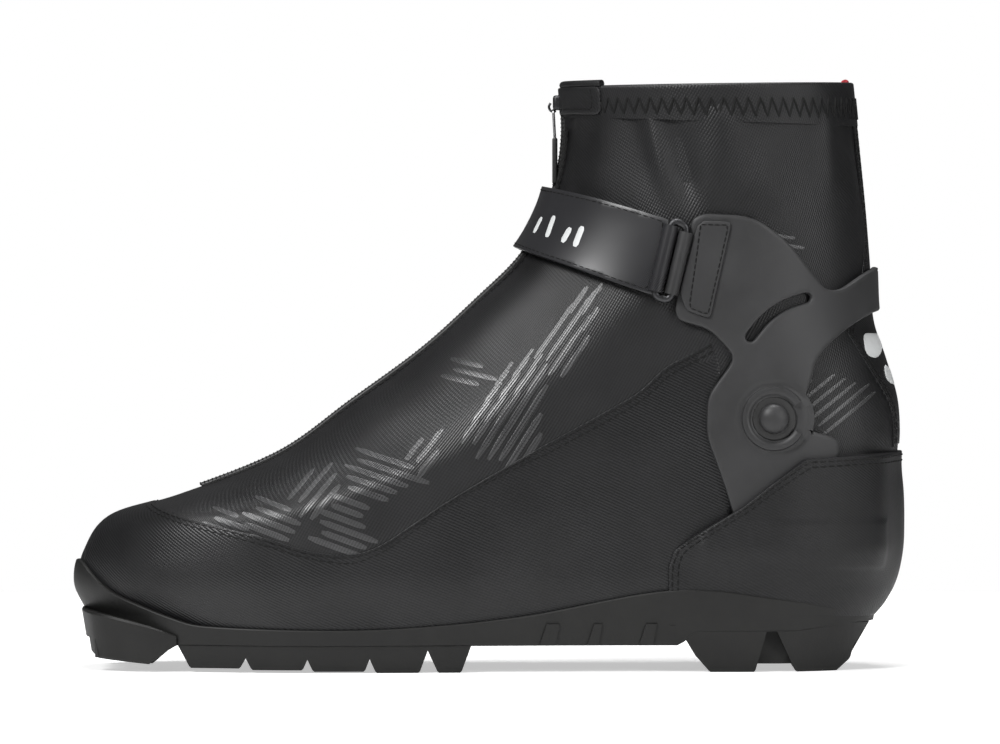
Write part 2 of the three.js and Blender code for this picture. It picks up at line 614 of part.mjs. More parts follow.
function addSole() {
  const rand = skinSolid(RAND, { below: 12.6 });
  const clearUpper = skinSolid(GAP, { below: GAP, above: 4 });
  const upperEdge = smooth(RAND_UPPER_EDGE, 60);
  const chassisOutline = [
    ...upperEdge.reverse(),
    [-160, 6], [-143.3, 6.4], [-141.1, 4.6], [-121.6, 2.8], [-117.5, 6], [-113, 9.6], [68, 9.6], [73, 14.3],
    [110, 14.5], [127, 17], [160, 18],
  ];
  const bumperZone = (margin) => {
    const lower = RAND_LOWER_EDGE.map(([x, z]) => [x, z - margin]);
    return prism([[-160, 45], ...lower, [BUMPER_END + margin, 10 - margin], [BUMPER_END + margin, 45]]);
  };
  const whole = rand.add(toeBlock()).intersect(prism(chassisOutline)).subtract(clearUpper);
  const seat = box([-150, -25.3, 0], [-125.7, 25.3, 11.9]);
  const grooveCuts = [-1, 1].map((side) =>
    box(
      [-118, side * GUIDE_GROOVE.centre - GUIDE_GROOVE.width / 2, 0],
      [160, side * GUIDE_GROOVE.centre + GUIDE_GROOVE.width / 2, GUIDE_GROOVE.depth],
    ),
  );
  addPart("toe_bumper", whole.intersect(bumperZone(0)), rubber);
  addPart("sole_chassis", whole.subtract(bumperZone(GAP)).subtract(seat), rubber);

  const block = box([-141.6, -25, 4.8], [-126, 25, 11.6]);
  const recess = box([-150, -19, 0], [-127.5, 19, 10.8]);
  const barHole = pin(TOE_BAR.x, TOE_BAR.z, TOE_BAR.radius + GAP, -22.4, 22.4, 16);
  addPart("toe_bar_insert", block.subtract(recess).subtract(barHole), hardBlack);
  // The bar is turned down where its ends sit in the insert.
  const journal = pin(TOE_BAR.x, TOE_BAR.z, TOE_BAR.endRadius, -TOE_BAR.length / 2, TOE_BAR.length / 2, 16);
  const grip = pin(TOE_BAR.x, TOE_BAR.z, TOE_BAR.radius, -TOE_BAR.grip / 2, TOE_BAR.grip / 2, 16);
  addPart("toe_bar", journal.add(grip), steel);

  const tread = skinSolid(0.6, { below: 20 });
  const forefoot = tread.intersect(prism(forefootTread()));
  addPart("outsole_forefoot", grooveCuts.reduce((solid, cut) => solid.subtract(cut), forefoot), rubber);
  const heel = tread.intersect(prism(heelTread()));
  addPart("outsole_heel", grooveCuts.reduce((solid, cut) => solid.subtract(cut), heel), rubber);
}

// The broad front of the sole, seen from above as a half round with a flat nose.
function toeBlock() {
  const plan = new THREE.Shape();
  plan.moveTo(-112, -37);
  plan.lineTo(-112, 37);
  plan.quadraticCurveTo(-136, 36, -142.5, 20);
  plan.quadraticCurveTo(-145.5, 0, -142.5, -20);
  plan.quadraticCurveTo(-136, -36, -112, -37);
  return solidOf(new THREE.ExtrudeGeometry(plan, { depth: 22, bevelEnabled: false, curveSegments: 8 }));
}

// Lugs with slanted front faces; each is [front of its foot, rear of its foot, height of its foot].
function forefootTread() {
  const lugs = [[-107.5, -88.9, 1.5], [-85.3, -66.5, 1], [-63.3, -44.4, 0.5], [-40.9, -24.9, 0], [-18.8, -10, 0]];
  const outline = [[-112.5, 9.3]];
  for (const [front, rear, foot] of lugs) {
    outline.push([front - 1.6, 7], [front, foot], [rear, foot], [rear + 1, 7]);
  }
  return [...outline, [-4, 9.3]];
}

function heelTread() {
  return [
    [73.6, 14], [73.2, 6], [78.2, 0], [94.9, 0], [96.3, 2.5], [104.2, 2.5], [109.9, 0], [124.4, 0],
    [129, 3.9], [136.6, 16.9], [136.4, 17.1], [127.2, 16.7], [110, 14.2],
  ];
}

addSkinPanels();
addInnerShells();
addHeelOverlay();
addCuff();
addStrap();
addRing();
addZip();
addSole();

export default boot;
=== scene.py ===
import json
import math
import bpy
import numpy as np
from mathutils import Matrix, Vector
from mathutils.geometry import delaunay_2d_cdt


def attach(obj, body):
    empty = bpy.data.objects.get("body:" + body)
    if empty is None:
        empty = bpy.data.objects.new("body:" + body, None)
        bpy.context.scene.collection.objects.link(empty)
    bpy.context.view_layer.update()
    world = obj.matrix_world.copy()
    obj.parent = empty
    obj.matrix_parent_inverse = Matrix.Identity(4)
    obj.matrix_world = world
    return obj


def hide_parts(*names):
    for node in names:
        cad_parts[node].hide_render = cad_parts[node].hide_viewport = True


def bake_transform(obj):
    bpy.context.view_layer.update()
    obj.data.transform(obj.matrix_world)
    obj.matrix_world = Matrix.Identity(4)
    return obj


# A cross country ski boot, left foot. Design sizes here are in millimetres, in the CAD frame:
# +Z up, toe at -X, outer side of the foot at -Y. Meshes are made in metres.

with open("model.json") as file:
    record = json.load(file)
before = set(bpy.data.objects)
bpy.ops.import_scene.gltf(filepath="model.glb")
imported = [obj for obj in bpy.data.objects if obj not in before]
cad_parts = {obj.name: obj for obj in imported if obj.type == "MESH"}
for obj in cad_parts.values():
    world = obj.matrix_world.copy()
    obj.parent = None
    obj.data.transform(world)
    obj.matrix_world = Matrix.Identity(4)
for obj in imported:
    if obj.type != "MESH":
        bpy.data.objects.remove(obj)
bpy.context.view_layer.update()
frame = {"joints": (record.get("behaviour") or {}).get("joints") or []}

MM = 0.001
BODY_FOOT = "foot"
BODY_CUFF = "cuff"
PIVOT = next(np.array(j["pos_m"]) / MM for j in frame["joints"] if j["name"] == "cuff_pivot")

# ---------------------------------------------------------------------------
# The skin of the upper, as in the CAD: section lines from the front outline to the back outline
# ---------------------------------------------------------------------------

FLOOR_TOE = 13.0
FLOOR_HEEL = 18.5
LEG_HALF_WIDTH = 38.0
FRONT_LINE = [(-138, FLOOR_TOE), (-144.6, 22), (-148.2, 31), (-146.2, 42.3), (-137, 54.8), (-112, 62.6),
              (-76, 77), (-49.8, 95.6), (-24, 114.5), (-3.6, 133), (11, 147.5), (20.3, 163), (25.2, 179),
              (27, 193), (26.2, 209.5)]
BACK_LINE = [(136, FLOOR_HEEL), (141.5, 25), (145.5, 33), (147.6, 43), (148, 53), (147.8, 63), (147, 74),
             (147.6, 86), (146.6, 98), (142.5, 112), (138, 126), (136.8, 145), (135.2, 165), (133, 187),
             (130.5, 211.5)]
LATERAL_WIDTH = [(-150, 27), (-130, 38), (-100, 43), (-60, 46.8), (-10, 43), (40, 38), (100, 37), (150, 35)]
MEDIAL_WIDTH = [(-150, 35), (-130, 43), (-95, 46.8), (-60, 45), (-10, 37), (30, 34.5), (100, 36), (150, 35)]


def smoothstep(low, high, x):
    t = np.clip((x - low) / (high - low), 0, 1)
    return t * t * (3 - 2 * t)


def curve(points, t):
    """A smooth curve through the points at t from 0 to 1."""
    points = np.asarray(points, float)
    last = len(points) - 1
    place = np.clip(t, 0, 1) * last
    i = np.minimum(place.astype(int), last - 1)
    w = (place - i)[..., None]
    p0, p1 = points[np.maximum(i - 1, 0)], points[i]
    p2, p3 = points[np.minimum(i + 1, last)], points[np.minimum(i + 2, last)]
    v0, v1 = (p2 - p0) / 2, (p3 - p1) / 2
    return (2 * p1 - 2 * p2 + v0 + v1) * w**3 + (-3 * p1 + 3 * p2 - 2 * v0 - v1) * w**2 + v0 * w + p1


def smooth(points, steps):
    return curve(points, np.linspace(0, 1, steps))


lateral_table = smooth(LATERAL_WIDTH, 61)
medial_table = smooth(MEDIAL_WIDTH, 61)


def half_width(x, z, lateral):
    foot = np.where(lateral, np.interp(x, *lateral_table.T), np.interp(x, *medial_table.T))
    tuck = 0.93 + 0.07 * smoothstep(FLOOR_TOE, 36, z)
    share = smoothstep(50, 125, z)
    return foot * tuck * (1 - share) + LEG_HALF_WIDTH * share


def round_end(distance, radius):
    return np.sqrt(np.clip(1 - (1 - np.minimum(1, distance / radius)) ** 2, 0, 1))


def skin_base(turn, level):
    front, back = curve(FRONT_LINE, level), curve(BACK_LINE, level)
    length = np.linalg.norm(back - front, axis=-1)
    share = (1 - np.cos(2 * np.pi * turn)) / 2
    x = front[..., 0] + (back[..., 0] - front[..., 0]) * share
    z = front[..., 1] + (back[..., 1] - front[..., 1]) * share
    lateral = np.mod(turn, 1) < 0.5
    front_end = round_end(share * length, 70 + (52 - 70) * level)
    back_end = round_end((1 - share) * length, 44 + (52 - 44) * level)
    y = half_width(x, z, lateral) * front_end * back_end
    return np.stack([x, np.where(lateral, -y, y), z], axis=-1)


def skin_normal(turn, level):
    step = 1e-3
    along = skin_base(turn + step, level) - skin_base(turn - step, level)
    up = skin_base(turn, np.minimum(1, level + step)) - skin_base(turn, np.maximum(0, level - step))
    normal = np.cross(along, up)
    return normal / np.maximum(np.linalg.norm(normal, axis=-1, keepdims=True), 1e-9)


def skin(turn, level, offset=0.0):
    turn, level = np.asarray(turn, float), np.asarray(level, float)
    offset = np.broadcast_to(offset, turn.shape)[..., None]
    return skin_base(turn, level) + skin_normal(turn, level) * offset


def on_side(points):
    """(turn, level) of places in side view, on the outer side."""
    points = np.asarray(points, float)
    x, z = points[:, 0], points[:, 1]
    low, high = np.zeros(len(x)), np.ones(len(x))
    for _ in range(30):
        level = (low + high) / 2
        front, back = curve(FRONT_LINE, level), curve(BACK_LINE, level)
        run, rise = (back - front).T
        above = run * (z - front[:, 1]) > rise * (x - front[:, 0])
        low, high = np.where(above, level, low), np.where(above, high, level)
    front, back = curve(FRONT_LINE, low), curve(BACK_LINE, low)
    share = np.clip((x - front[:, 0]) / (back[:, 0] - front[:, 0]), 0, 1)
    return np.stack([np.arccos(1 - 2 * share) / (2 * np.pi), low], axis=-1)


def mirrored(points, about):
    """Points of (turn, level) mirrored to the inner side, in reverse order; about is 0 or 0.5."""
    return np.stack([2 * about - points[::-1, 0], points[::-1, 1]], axis=-1)


def resample(points, spacing):
    """The polyline with corners kept and long pieces divided."""
    out = []
    for a, b in zip(points[:-1], points[1:]):
        count = max(1, int(math.ceil(np.linalg.norm(np.subtract(b, a)) / spacing)))
        out += [np.add(a, np.subtract(b, a) * k / count) for k in range(count)]
    return np.array(out + [points[-1]])


# ---------------------------------------------------------------------------
# Mesh making
# ---------------------------------------------------------------------------


def mesh_object(name, vertices, faces, material, sharp_angle=40):
    """A mesh from points in millimetres, smooth except at edges sharper than the angle."""
    mesh = bpy.data.meshes.new(name)
    mesh.from_pydata((np.asarray(vertices, float) * MM).tolist(), [], [list(map(int, f)) for f in faces])
    mesh.validate()
    mesh.update()
    obj = bpy.data.objects.new(name, mesh)
    bpy.context.collection.objects.link(obj)
    obj.data.materials.append(material)
    finish_shading(obj, sharp_angle)
    return obj


def finish_shading(obj, sharp_angle=40):
    mesh = obj.data
    mesh.shade_smooth()
    mesh.set_sharp_from_angle(angle=math.radians(sharp_angle))
    weave = mesh.uv_layers.get("weave") or mesh.uv_layers.new(name="weave")
    co = np.array([v.co for v in mesh.vertices]).reshape(-1, 3) / MM
    corner = np.zeros(len(mesh.loops), int)
    mesh.loops.foreach_get("vertex_index", corner)
    around = co[:, 0] + (np.abs(co[:, 1]) - LEG_HALF_WIDTH) * (1 - 2 * smoothstep(20, 110, co[:, 0]))
    falling, rising = math.radians(25), math.radians(60)
    uv = np.stack([around * math.sin(falling) + co[:, 2] * math.cos(falling),
                   around * math.sin(rising) - co[:, 2] * math.cos(rising)], axis=-1) / 10
    weave.data.foreach_set("uv", uv[corner].ravel())


def grid_faces(rows, columns, wrap=False):
    faces = []
    for r in range(rows - 1):
        for c in range(columns if wrap else columns - 1):
            d = (c + 1) % columns
            faces.append((r * columns + c, r * columns + d, (r + 1) * columns + d, (r + 1) * columns + c))
    return faces


PLANE = np.array([600.0, 260.0])  # millimetres per turn and per level, to lay the skin out flat


def inside(points, loop):
    """Which points lie inside a closed loop."""
    x, y = points[:, 0][:, None], points[:, 1][:, None]
    ax, ay = loop[:, 0][None], loop[:, 1][None]
    bx, by = np.roll(loop[:, 0], -1)[None], np.roll(loop[:, 1], -1)[None]
    crosses = (ay > y) != (by > y)
    at = ax + (y - ay) * (bx - ax) / np.where(by == ay, 1e-12, by - ay)
    return np.sum(crosses & (x < at), axis=1) % 2 == 1


def area(loop):
    x, y = loop.T
    return np.sum(x * np.roll(y, -1) - y * np.roll(x, -1)) / 2


def inset(loop, distance):
    """The loop moved inwards by a distance in millimetres along the skin."""
    before, after = loop - np.roll(loop, 1, axis=0), np.roll(loop, -1, axis=0) - loop
    normals = []
    for edge in (before, after):
        n = np.stack([-edge[:, 1], edge[:, 0]], axis=-1)
        normals.append(n / np.maximum(np.linalg.norm(n, axis=1, keepdims=True), 1e-9))
    normal = normals[0] + normals[1]
    normal /= np.maximum(np.linalg.norm(normal, axis=1, keepdims=True), 1e-9)
    normal *= 1 / np.clip(np.sum(normal * normals[0], axis=1, keepdims=True), 0.5, 1)
    here = skin(loop[:, 0] / PLANE[0], loop[:, 1] / PLANE[1])
    probe = loop + normal * 0.5
    there = skin(probe[:, 0] / PLANE[0], probe[:, 1] / PLANE[1])
    stretch = np.maximum(np.linalg.norm(there - here, axis=1, keepdims=True) / 0.5, 0.05)
    return loop + normal * distance / stretch


def patch(name, outline, low, high, material, edge=0.4, spacing=2.5, holes=(), relief=None):
    """A closed sheet on the skin between two offsets, inside an outline of (turn, level) points.

    edge is the radius of its rounded rim; relief(points) gives extra height at the outer face."""
    loops = []
    for index, loop in enumerate([outline, *holes]):
        flat = np.asarray(loop, float) * PLANE
        if np.linalg.norm(flat[0] - flat[-1]) < 1e-6:
            flat = flat[:-1]
        if (area(flat) > 0) != (index == 0):
            flat = flat[::-1]
        loops.append(flat)
    points, heights, constraints = [], [], []
    for loop in loops:
        for share, depth in ((0, edge), (0.3, 0.29 * edge), (1, 0)):
            ring = np.arange(len(loop)) + sum(map(len, points))
            constraints += [(int(a), int(b)) for a, b in zip(ring, np.roll(ring, -1))]
            points.append(inset(loop, share * edge) if share else loop)
            heights.append(np.full(len(loop), high - depth))
    low_corner, high_corner = loops[0].min(axis=0), loops[0].max(axis=0)
    columns = np.arange(low_corner[0], high_corner[0], spacing)
    rows = np.arange(low_corner[1], high_corner[1], spacing * 0.87)
    lattice = np.array([(x + (spacing / 2) * (r % 2), y) for r, y in enumerate(rows) for x in columns])
    keep = inside(lattice, inset(loops[0], edge + spacing * 0.3))
    for hole in loops[1:]:
        keep &= ~inside(lattice, inset(hole, edge + spacing * 0.3))
    points.append(lattice[keep])
    heights.append(np.full(int(keep.sum()), high))
    flat, height = np.concatenate(points), np.concatenate(heights)
    result = delaunay_2d_cdt([Vector(p) for p in flat], constraints, [], 0, 1e-5)
    flat = np.array([tuple(p) for p in result[0]])
    source = np.array([origins[0] if origins else -1 for origins in result[3]])
    height = np.where(source >= 0, height[source], high - edge)
    triangles = np.array(result[2])
    centres = flat[triangles].mean(axis=1)
    keep = inside(centres, loops[0])
    for hole in loops[1:]:
        keep &= ~inside(centres, hole)
    triangles = triangles[keep]
    turn, level = flat[:, 0] / PLANE[0], flat[:, 1] / PLANE[1]
    if relief is not None:
        height = height + relief(skin(turn, level))
    top, bottom = skin(turn, level, height), skin(turn, level, low)
    count = len(flat)
    faces = [tuple(t) for t in triangles] + [tuple(t[::-1] + count) for t in triangles]
    sides = {}
    for a, b, c in triangles:
        for p, q in ((a, b), (b, c), (c, a)):
            sides[(p, q)] = True
    for p, q in sides:
        if (q, p) not in sides:
            faces.append((q, p, p + count, q + count))
    used = np.unique(triangles)
    used = np.concatenate([used, used + count])
    renumber = np.full(2 * count, -1)
    renumber[used] = np.arange(len(used))
    vertices = np.concatenate([top, bottom])[used]
    return mesh_object(name, vertices, [[renumber[i] for i in f] for f in faces], material)


def join(pieces):
    """Joins several (vertices, faces) into one pair."""
    vertices, faces, start = [], [], 0
    for v, f in pieces:
        vertices.append(v)
        faces += [[i + start for i in face] for face in f]
        start += len(v)
    return np.concatenate(vertices), faces


def block_mesh(name, low, high, material, sharp_angle=40):
    (x0, y0, z0), (x1, y1, z1) = low, high
    corner = [(x, y, z) for x in (x0, x1) for y in (y0, y1) for z in (z0, z1)]
    faces = [(0, 1, 3, 2), (4, 6, 7, 5), (0, 4, 5, 1), (2, 3, 7, 6), (0, 2, 6, 4), (1, 5, 7, 3)]
    return mesh_object(name, corner, faces, material, sharp_angle)


def tube(path, radius, sides=10, closed=False):
    """(vertices, faces) of a round bar along a path."""
    path = np.asarray(path, float)
    count = len(path)
    ahead = np.roll(path, -1, axis=0) - np.roll(path, 1, axis=0)
    if not closed:
        ahead[0], ahead[-1] = path[1] - path[0], path[-1] - path[-2]
    ahead /= np.linalg.norm(ahead, axis=1, keepdims=True)
    helper = np.array([0.0, 1.0, 0.0])
    across = np.cross(ahead, helper)
    across /= np.maximum(np.linalg.norm(across, axis=1, keepdims=True), 1e-9)
    up = np.cross(across, ahead)
    angles = np.linspace(0, 2 * np.pi, sides, endpoint=False)
    rings = [path + (across * math.cos(a) + up * math.sin(a)) * radius for a in angles]
    vertices = np.stack(rings, axis=1).reshape(-1, 3)
    faces = grid_faces(count, sides, wrap=True)
    if closed:
        base = (count - 1) * sides
        faces += [(base + c, base + (c + 1) % sides, (c + 1) % sides, c) for c in range(sides)]
    else:
        faces.append(tuple(range(sides - 1, -1, -1)))
        faces.append(tuple((count - 1) * sides + c for c in range(sides)))
    return vertices, faces


def lathe(profile, centre, out, sides=40, start=0.0, end=360.0):
    """(vertices, faces) of a profile of (radius, height) turned about the Y axis through centre."""
    whole = end - start >= 360
    angles = np.radians(np.linspace(start, end, sides, endpoint=not whole))
    profile = np.asarray(profile, float)
    vertices = []
    for a in angles:
        for radius, height in profile:
            vertices.append((centre[0] + radius * math.cos(a), centre[1] + out * height,
                             centre[2] + radius * math.sin(a)))
    n = len(profile)
    faces = []
    for r in range(len(angles) if whole else len(angles) - 1):
        s = (r + 1) % len(angles)
        for c in range(n):
            d = (c + 1) % n
            face = (r * n + c, r * n + d, s * n + d, s * n + c)
            faces.append(face if out > 0 else face[::-1])
    if not whole:
        first = tuple(range(n))
        last = tuple((len(angles) - 1) * n + c for c in range(n))
        faces.append(first[::-1] if out > 0 else first)
        faces.append(last if out > 0 else last[::-1])
    return np.array(vertices), faces


# ---------------------------------------------------------------------------
# Materials
# ---------------------------------------------------------------------------


class Nodes:
    """A small helper that adds shader nodes and links them."""

    def __init__(self, name, color, roughness, metallic=0.0, specular=0.5):
        self.material = bpy.data.materials.new(name)
        self.material.use_nodes = True
        self.tree = self.material.node_tree
        self.shader = self.tree.nodes["Principled BSDF"]
        self.shader.inputs["Base Color"].default_value = (*color, 1)
        self.shader.inputs["Roughness"].default_value = roughness
        self.shader.inputs["Metallic"].default_value = metallic
        self.shader.inputs["Specular IOR Level"].default_value = specular
        self.material.diffuse_color = (*color, 1)

    def add(self, kind, **settings):
        node = self.tree.nodes.new(kind)
        for key, value in settings.items():
            if key in node.inputs:
                node.inputs[key].default_value = value
            else:
                setattr(node, key, value)
        return node

    def link(self, a, b):
        self.tree.links.new(a, b)

    def math(self, operation, a, b=None):
        node = self.add("ShaderNodeMath", operation=operation)
        for socket, value in zip(node.inputs, (a, b)):
            if value is None:
                continue
            if isinstance(value, (int, float)):
                socket.default_value = value
            else:
                self.link(value, socket)
        return node.outputs[0]

    def place(self):
        return self.add("ShaderNodeTexCoord").outputs["Object"]

    def noise(self, scale, detail=4.0, roughness=0.55):
        node = self.add("ShaderNodeTexNoise")
        node.inputs["Scale"].default_value = scale
        node.inputs["Detail"].default_value = detail
        node.inputs["Roughness"].default_value = roughness
        self.link(self.place(), node.inputs["Vector"])
        return node.outputs["Fac"]

    def ramp(self, value, low, high, start=0.3, end=0.7):
        """A number that runs from low to high as value runs from start to end."""
        node = self.add("ShaderNodeMapRange")
        self.link(value, node.inputs["Value"])
        for key, number in zip(("From Min", "From Max", "To Min", "To Max"), (start, end, low, high)):
            node.inputs[key].default_value = number
        return node.outputs["Result"]

    def mix_color(self, value, dark, light):
        node = self.add("ShaderNodeMix", data_type="RGBA")
        self.link(value, node.inputs[0])
        node.inputs[6].default_value = (*dark, 1)
        node.inputs[7].default_value = (*light, 1)
        self.link(node.outputs[2], self.shader.inputs["Base Color"])

    def bump(self, height, distance, strength=1.0):
        node = self.add("ShaderNodeBump")
        node.inputs["Strength"].default_value = strength
        node.inputs["Distance"].default_value = distance * MM
        self.link(height, node.inputs["Height"])
        self.link(node.outputs["Normal"], self.shader.inputs["Normal"])

    def twill(self, pitch, rising):
        """Diagonal ribs, 0 to 1, of a pitch in millimetres, broken into single floats."""
        uv = self.add("ShaderNodeUVMap", uv_map="weave").outputs[0]
        parts = self.add("ShaderNodeSeparateXYZ")
        self.link(uv, parts.inputs[0])
        across, along = parts.outputs[0], parts.outputs[1]
        if not rising:
            across, along = along, across
        ribs = self.math("SINE", self.math("MULTIPLY", along, 2 * math.pi * 10 / pitch))
        floats = self.math("SINE", self.math("MULTIPLY", across, 2 * math.pi * 10 / (pitch * 1.1)))
        both = self.math("ADD", self.math("MULTIPLY", ribs, 0.36), self.math("MULTIPLY", floats, 0.14))
        return self.math("ADD", both, 0.5)


def woven(name, dark, light, roughness, pitch, depth, spec=0.5, rising=True):
    """Coated twill: ribs, uneven gloss and slow tone changes."""
    n = Nodes(name, dark, roughness, specular=spec)
    ribs = n.twill(pitch, rising)
    mottle = n.noise(45, 3)
    n.mix_color(n.math("MULTIPLY", ribs, n.ramp(mottle, 0.4, 1.0)), dark, light)
    wear = n.noise(14, 5)
    gloss = n.math("ADD", n.ramp(wear, roughness - 0.07, roughness + 0.09), n.math("MULTIPLY", ribs, 0.05))
    n.link(gloss, n.shader.inputs["Roughness"])
    n.bump(n.math("ADD", ribs, n.math("MULTIPLY", n.noise(600, 2), 0.35)), depth)
    return n.material


def moulded(name, dark, light, roughness, grain, depth, spec=0.5):
    """Moulded rubber or plastic: fine grain and scuffed tone."""
    n = Nodes(name, dark, roughness, specular=spec)
    scuff = n.noise(28, 6, 0.7)
    n.mix_color(n.ramp(scuff, 0, 1, 0.35, 0.75), dark, light)
    n.link(n.ramp(scuff, roughness - 0.06, roughness + 0.1), n.shader.inputs["Roughness"])
    n.bump(n.noise(grain, 3, 0.6), depth)
    return n.material


def metal(name, color, roughness, metallic=1.0):
    n = Nodes(name, color, roughness, metallic)
    brushed = n.noise(260, 3, 0.7)
    n.link(n.ramp(brushed, roughness - 0.06, roughness + 0.12), n.shader.inputs["Roughness"])
    n.bump(brushed, 0.03)
    return n.material


softshell = woven("softshell", (0.003, 0.003, 0.0032), (0.017, 0.017, 0.018), 0.36, 1.0, 0.1, 0.3)
toe_twill = woven("toe_twill", (0.003, 0.003, 0.0032), (0.013, 0.013, 0.014), 0.33, 1.0, 0.09, 0.3, False)
heel_twill = woven("heel_twill", (0.003, 0.003, 0.0032), (0.012, 0.012, 0.013), 0.42, 0.95, 0.1, 0.25, False)
tape_fabric = woven("tape_fabric", (0.003, 0.003, 0.003), (0.012, 0.012, 0.012), 0.7, 0.7, 0.1, 0.3)
lining = woven("lining", (0.008, 0.008, 0.009), (0.035, 0.035, 0.037), 0.85, 1.3, 0.12, 0.3)
red_fabric = woven("red_fabric", (0.28, 0.012, 0.02), (0.5, 0.03, 0.04), 0.7, 0.8, 0.08)
felt = moulded("felt", (0.05, 0.05, 0.048), (0.12, 0.12, 0.115), 0.95, 1400, 0.15, 0.2)
strap_coat = woven("strap_coat", (0.012, 0.012, 0.013), (0.02, 0.02, 0.022), 0.28, 0.55, 0.006, 0.4)
rough_loops = moulded("rough_loops", (0.004, 0.004, 0.004), (0.02, 0.02, 0.0195), 0.95, 900, 0.15, 0.1)
rubber = moulded("rubber", (0.005, 0.005, 0.0048), (0.011, 0.011, 0.0105), 0.5, 900, 0.05, 0.25)
plastic = moulded("plastic", (0.02, 0.02, 0.0205), (0.028, 0.028, 0.029), 0.46, 1500, 0.02, 0.3)
hard_black = moulded("hard_black", (0.006, 0.006, 0.006), (0.012, 0.012, 0.012), 0.5, 1200, 0.03)
thread = woven("thread", (0.0015, 0.0015, 0.0015), (0.006, 0.006, 0.006), 0.75, 0.5, 0.06, 0.25)
print_gloss = woven("print_gloss", (0.012, 0.012, 0.0125), (0.05, 0.05, 0.052), 0.3, 1.0, 0.08, 0.6)
print_silver = moulded("print_silver", (0.42, 0.43, 0.43), (0.5, 0.51, 0.51), 0.4, 700, 0.01)
dark_metal = metal("dark_metal", (0.05, 0.05, 0.052), 0.38)
bright_metal = metal("bright_metal", (0.62, 0.62, 0.63), 0.28)

# ---------------------------------------------------------------------------
# Riding: pieces ride on the foot or the cuff, or stay where they are
# ---------------------------------------------------------------------------


def settle(obj, body=None, replaces=()):
    """Makes the piece ride on a body, or bakes it in place when there is none, and hides the parts it
    replaces.
    """
    if body:
        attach(obj, body)
    else:
        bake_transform(obj)
    if replaces:
        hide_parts(*replaces)
    return obj


# Parts of the frame that stay as they are only need their own surface
KEPT_NODES = {"toe_bar": bright_metal, "toe_bar_insert": hard_black, "shank_plate": hard_black,
              "lasting_board": felt, "footbed": felt, "toe_puff": felt, "heel_stiffener": felt}
for node_name, surface in KEPT_NODES.items():
    node_mesh = bpy.data.objects[node_name].data
    node_mesh.materials.clear()
    node_mesh.materials.append(surface)

# ---------------------------------------------------------------------------
# Lines and small things on the skin
# ---------------------------------------------------------------------------


def between(a, b, t):
    return np.asarray(a, float) * (1 - t) + np.asarray(b, float) * t


def measured(path, offset, spacing):
    """The turns and the levels of places at even spacing along a path over the skin."""
    path = resample(np.asarray(path) * PLANE, 1.0) / PLANE
    points = skin(path[:, 0], path[:, 1], offset)
    run = np.concatenate([[0], np.cumsum(np.linalg.norm(np.diff(points, axis=0), axis=1))])
    count = max(2, int(run[-1] / spacing) + 1)
    at = np.linspace(0, run[-1], count)
    turn, level = np.interp(at, run, path[:, 0]), np.interp(at, run, path[:, 1])
    return turn, level


ROUND_TOP = [(-0.5, 0), (-0.32, 0.8), (0, 1.0), (0.32, 0.8), (0.5, 0)]
FLAT_TOP = [(-0.5, 0), (-0.47, 0.9), (-0.42, 1.0), (0.42, 1.0), (0.47, 0.9), (0.5, 0)]


def ridge(turn, level, offset, width, height, sink=0.3, top=ROUND_TOP):
    """(vertices, faces) of a low bead along the skin, with tapered ends."""
    centre, normal = skin(turn, level, offset), skin_normal(turn, level)
    ahead = np.gradient(centre, axis=0)
    ahead /= np.maximum(np.linalg.norm(ahead, axis=1, keepdims=True), 1e-9)
    side = np.cross(normal, ahead)
    count = len(centre)
    taper = np.ones(count)
    taper[[0, -1]] = 0.55
    section = [(-0.5, -sink), *top, (0.5, -sink)]
    rings = []
    for across, up in section:
        rise = up * height if up > 0 else up
        rings.append(centre + side * (across * width * taper)[:, None] + normal * np.full((count, 1), rise))
    vertices = np.stack(rings, axis=1).reshape(-1, 3)
    k = len(section)
    faces = [f[::-1] for f in grid_faces(count, k, wrap=True)]
    faces += [tuple(range(k)), tuple((count - 1) * k + c for c in range(k - 1, -1, -1))]
    return vertices, faces


def stitch_row(path, offset, pitch=2.9, length=2.1, width=0.55, height=0.28):
    """Stitches one after another along a path on the skin."""
    turn, level = measured(path, offset, pitch)
    made = []
    for i in range(len(turn) - 1):
        reach = length / pitch
        t = np.array([0, 0.2, 0.5, 0.8, 1]) * reach + (1 - reach) / 2
        made.append(ridge(turn[i] + (turn[i + 1] - turn[i]) * t, level[i] + (level[i + 1] - level[i]) * t,
                          offset, width, height, 0.15))
    return made


def beside(path, distance):
    """The path moved sideways over the skin by a distance in millimetres; positive is to its left."""
    path = np.asarray(path, float)
    flat = resample(path * PLANE, 4.0)
    ahead = np.gradient(flat, axis=0)
    left = np.stack([-ahead[:, 1], ahead[:, 0]], axis=-1)
    left /= np.maximum(np.linalg.norm(left, axis=1, keepdims=True), 1e-9)
    here = skin(*(flat / PLANE).T)
    there = skin(*((flat + left) / PLANE).T)
    stretch = np.linalg.norm(there - here, axis=1, keepdims=True)
    return (flat + left * distance / np.maximum(stretch, 0.05)) / PLANE


def lines(name, made, material, body=None):
    vertices, faces = join(made)
    return settle(mesh_object(name, vertices, faces, material, 60), body)


# ---------------------------------------------------------------------------
# Softshell: one cover from the rand to the collar
# ---------------------------------------------------------------------------


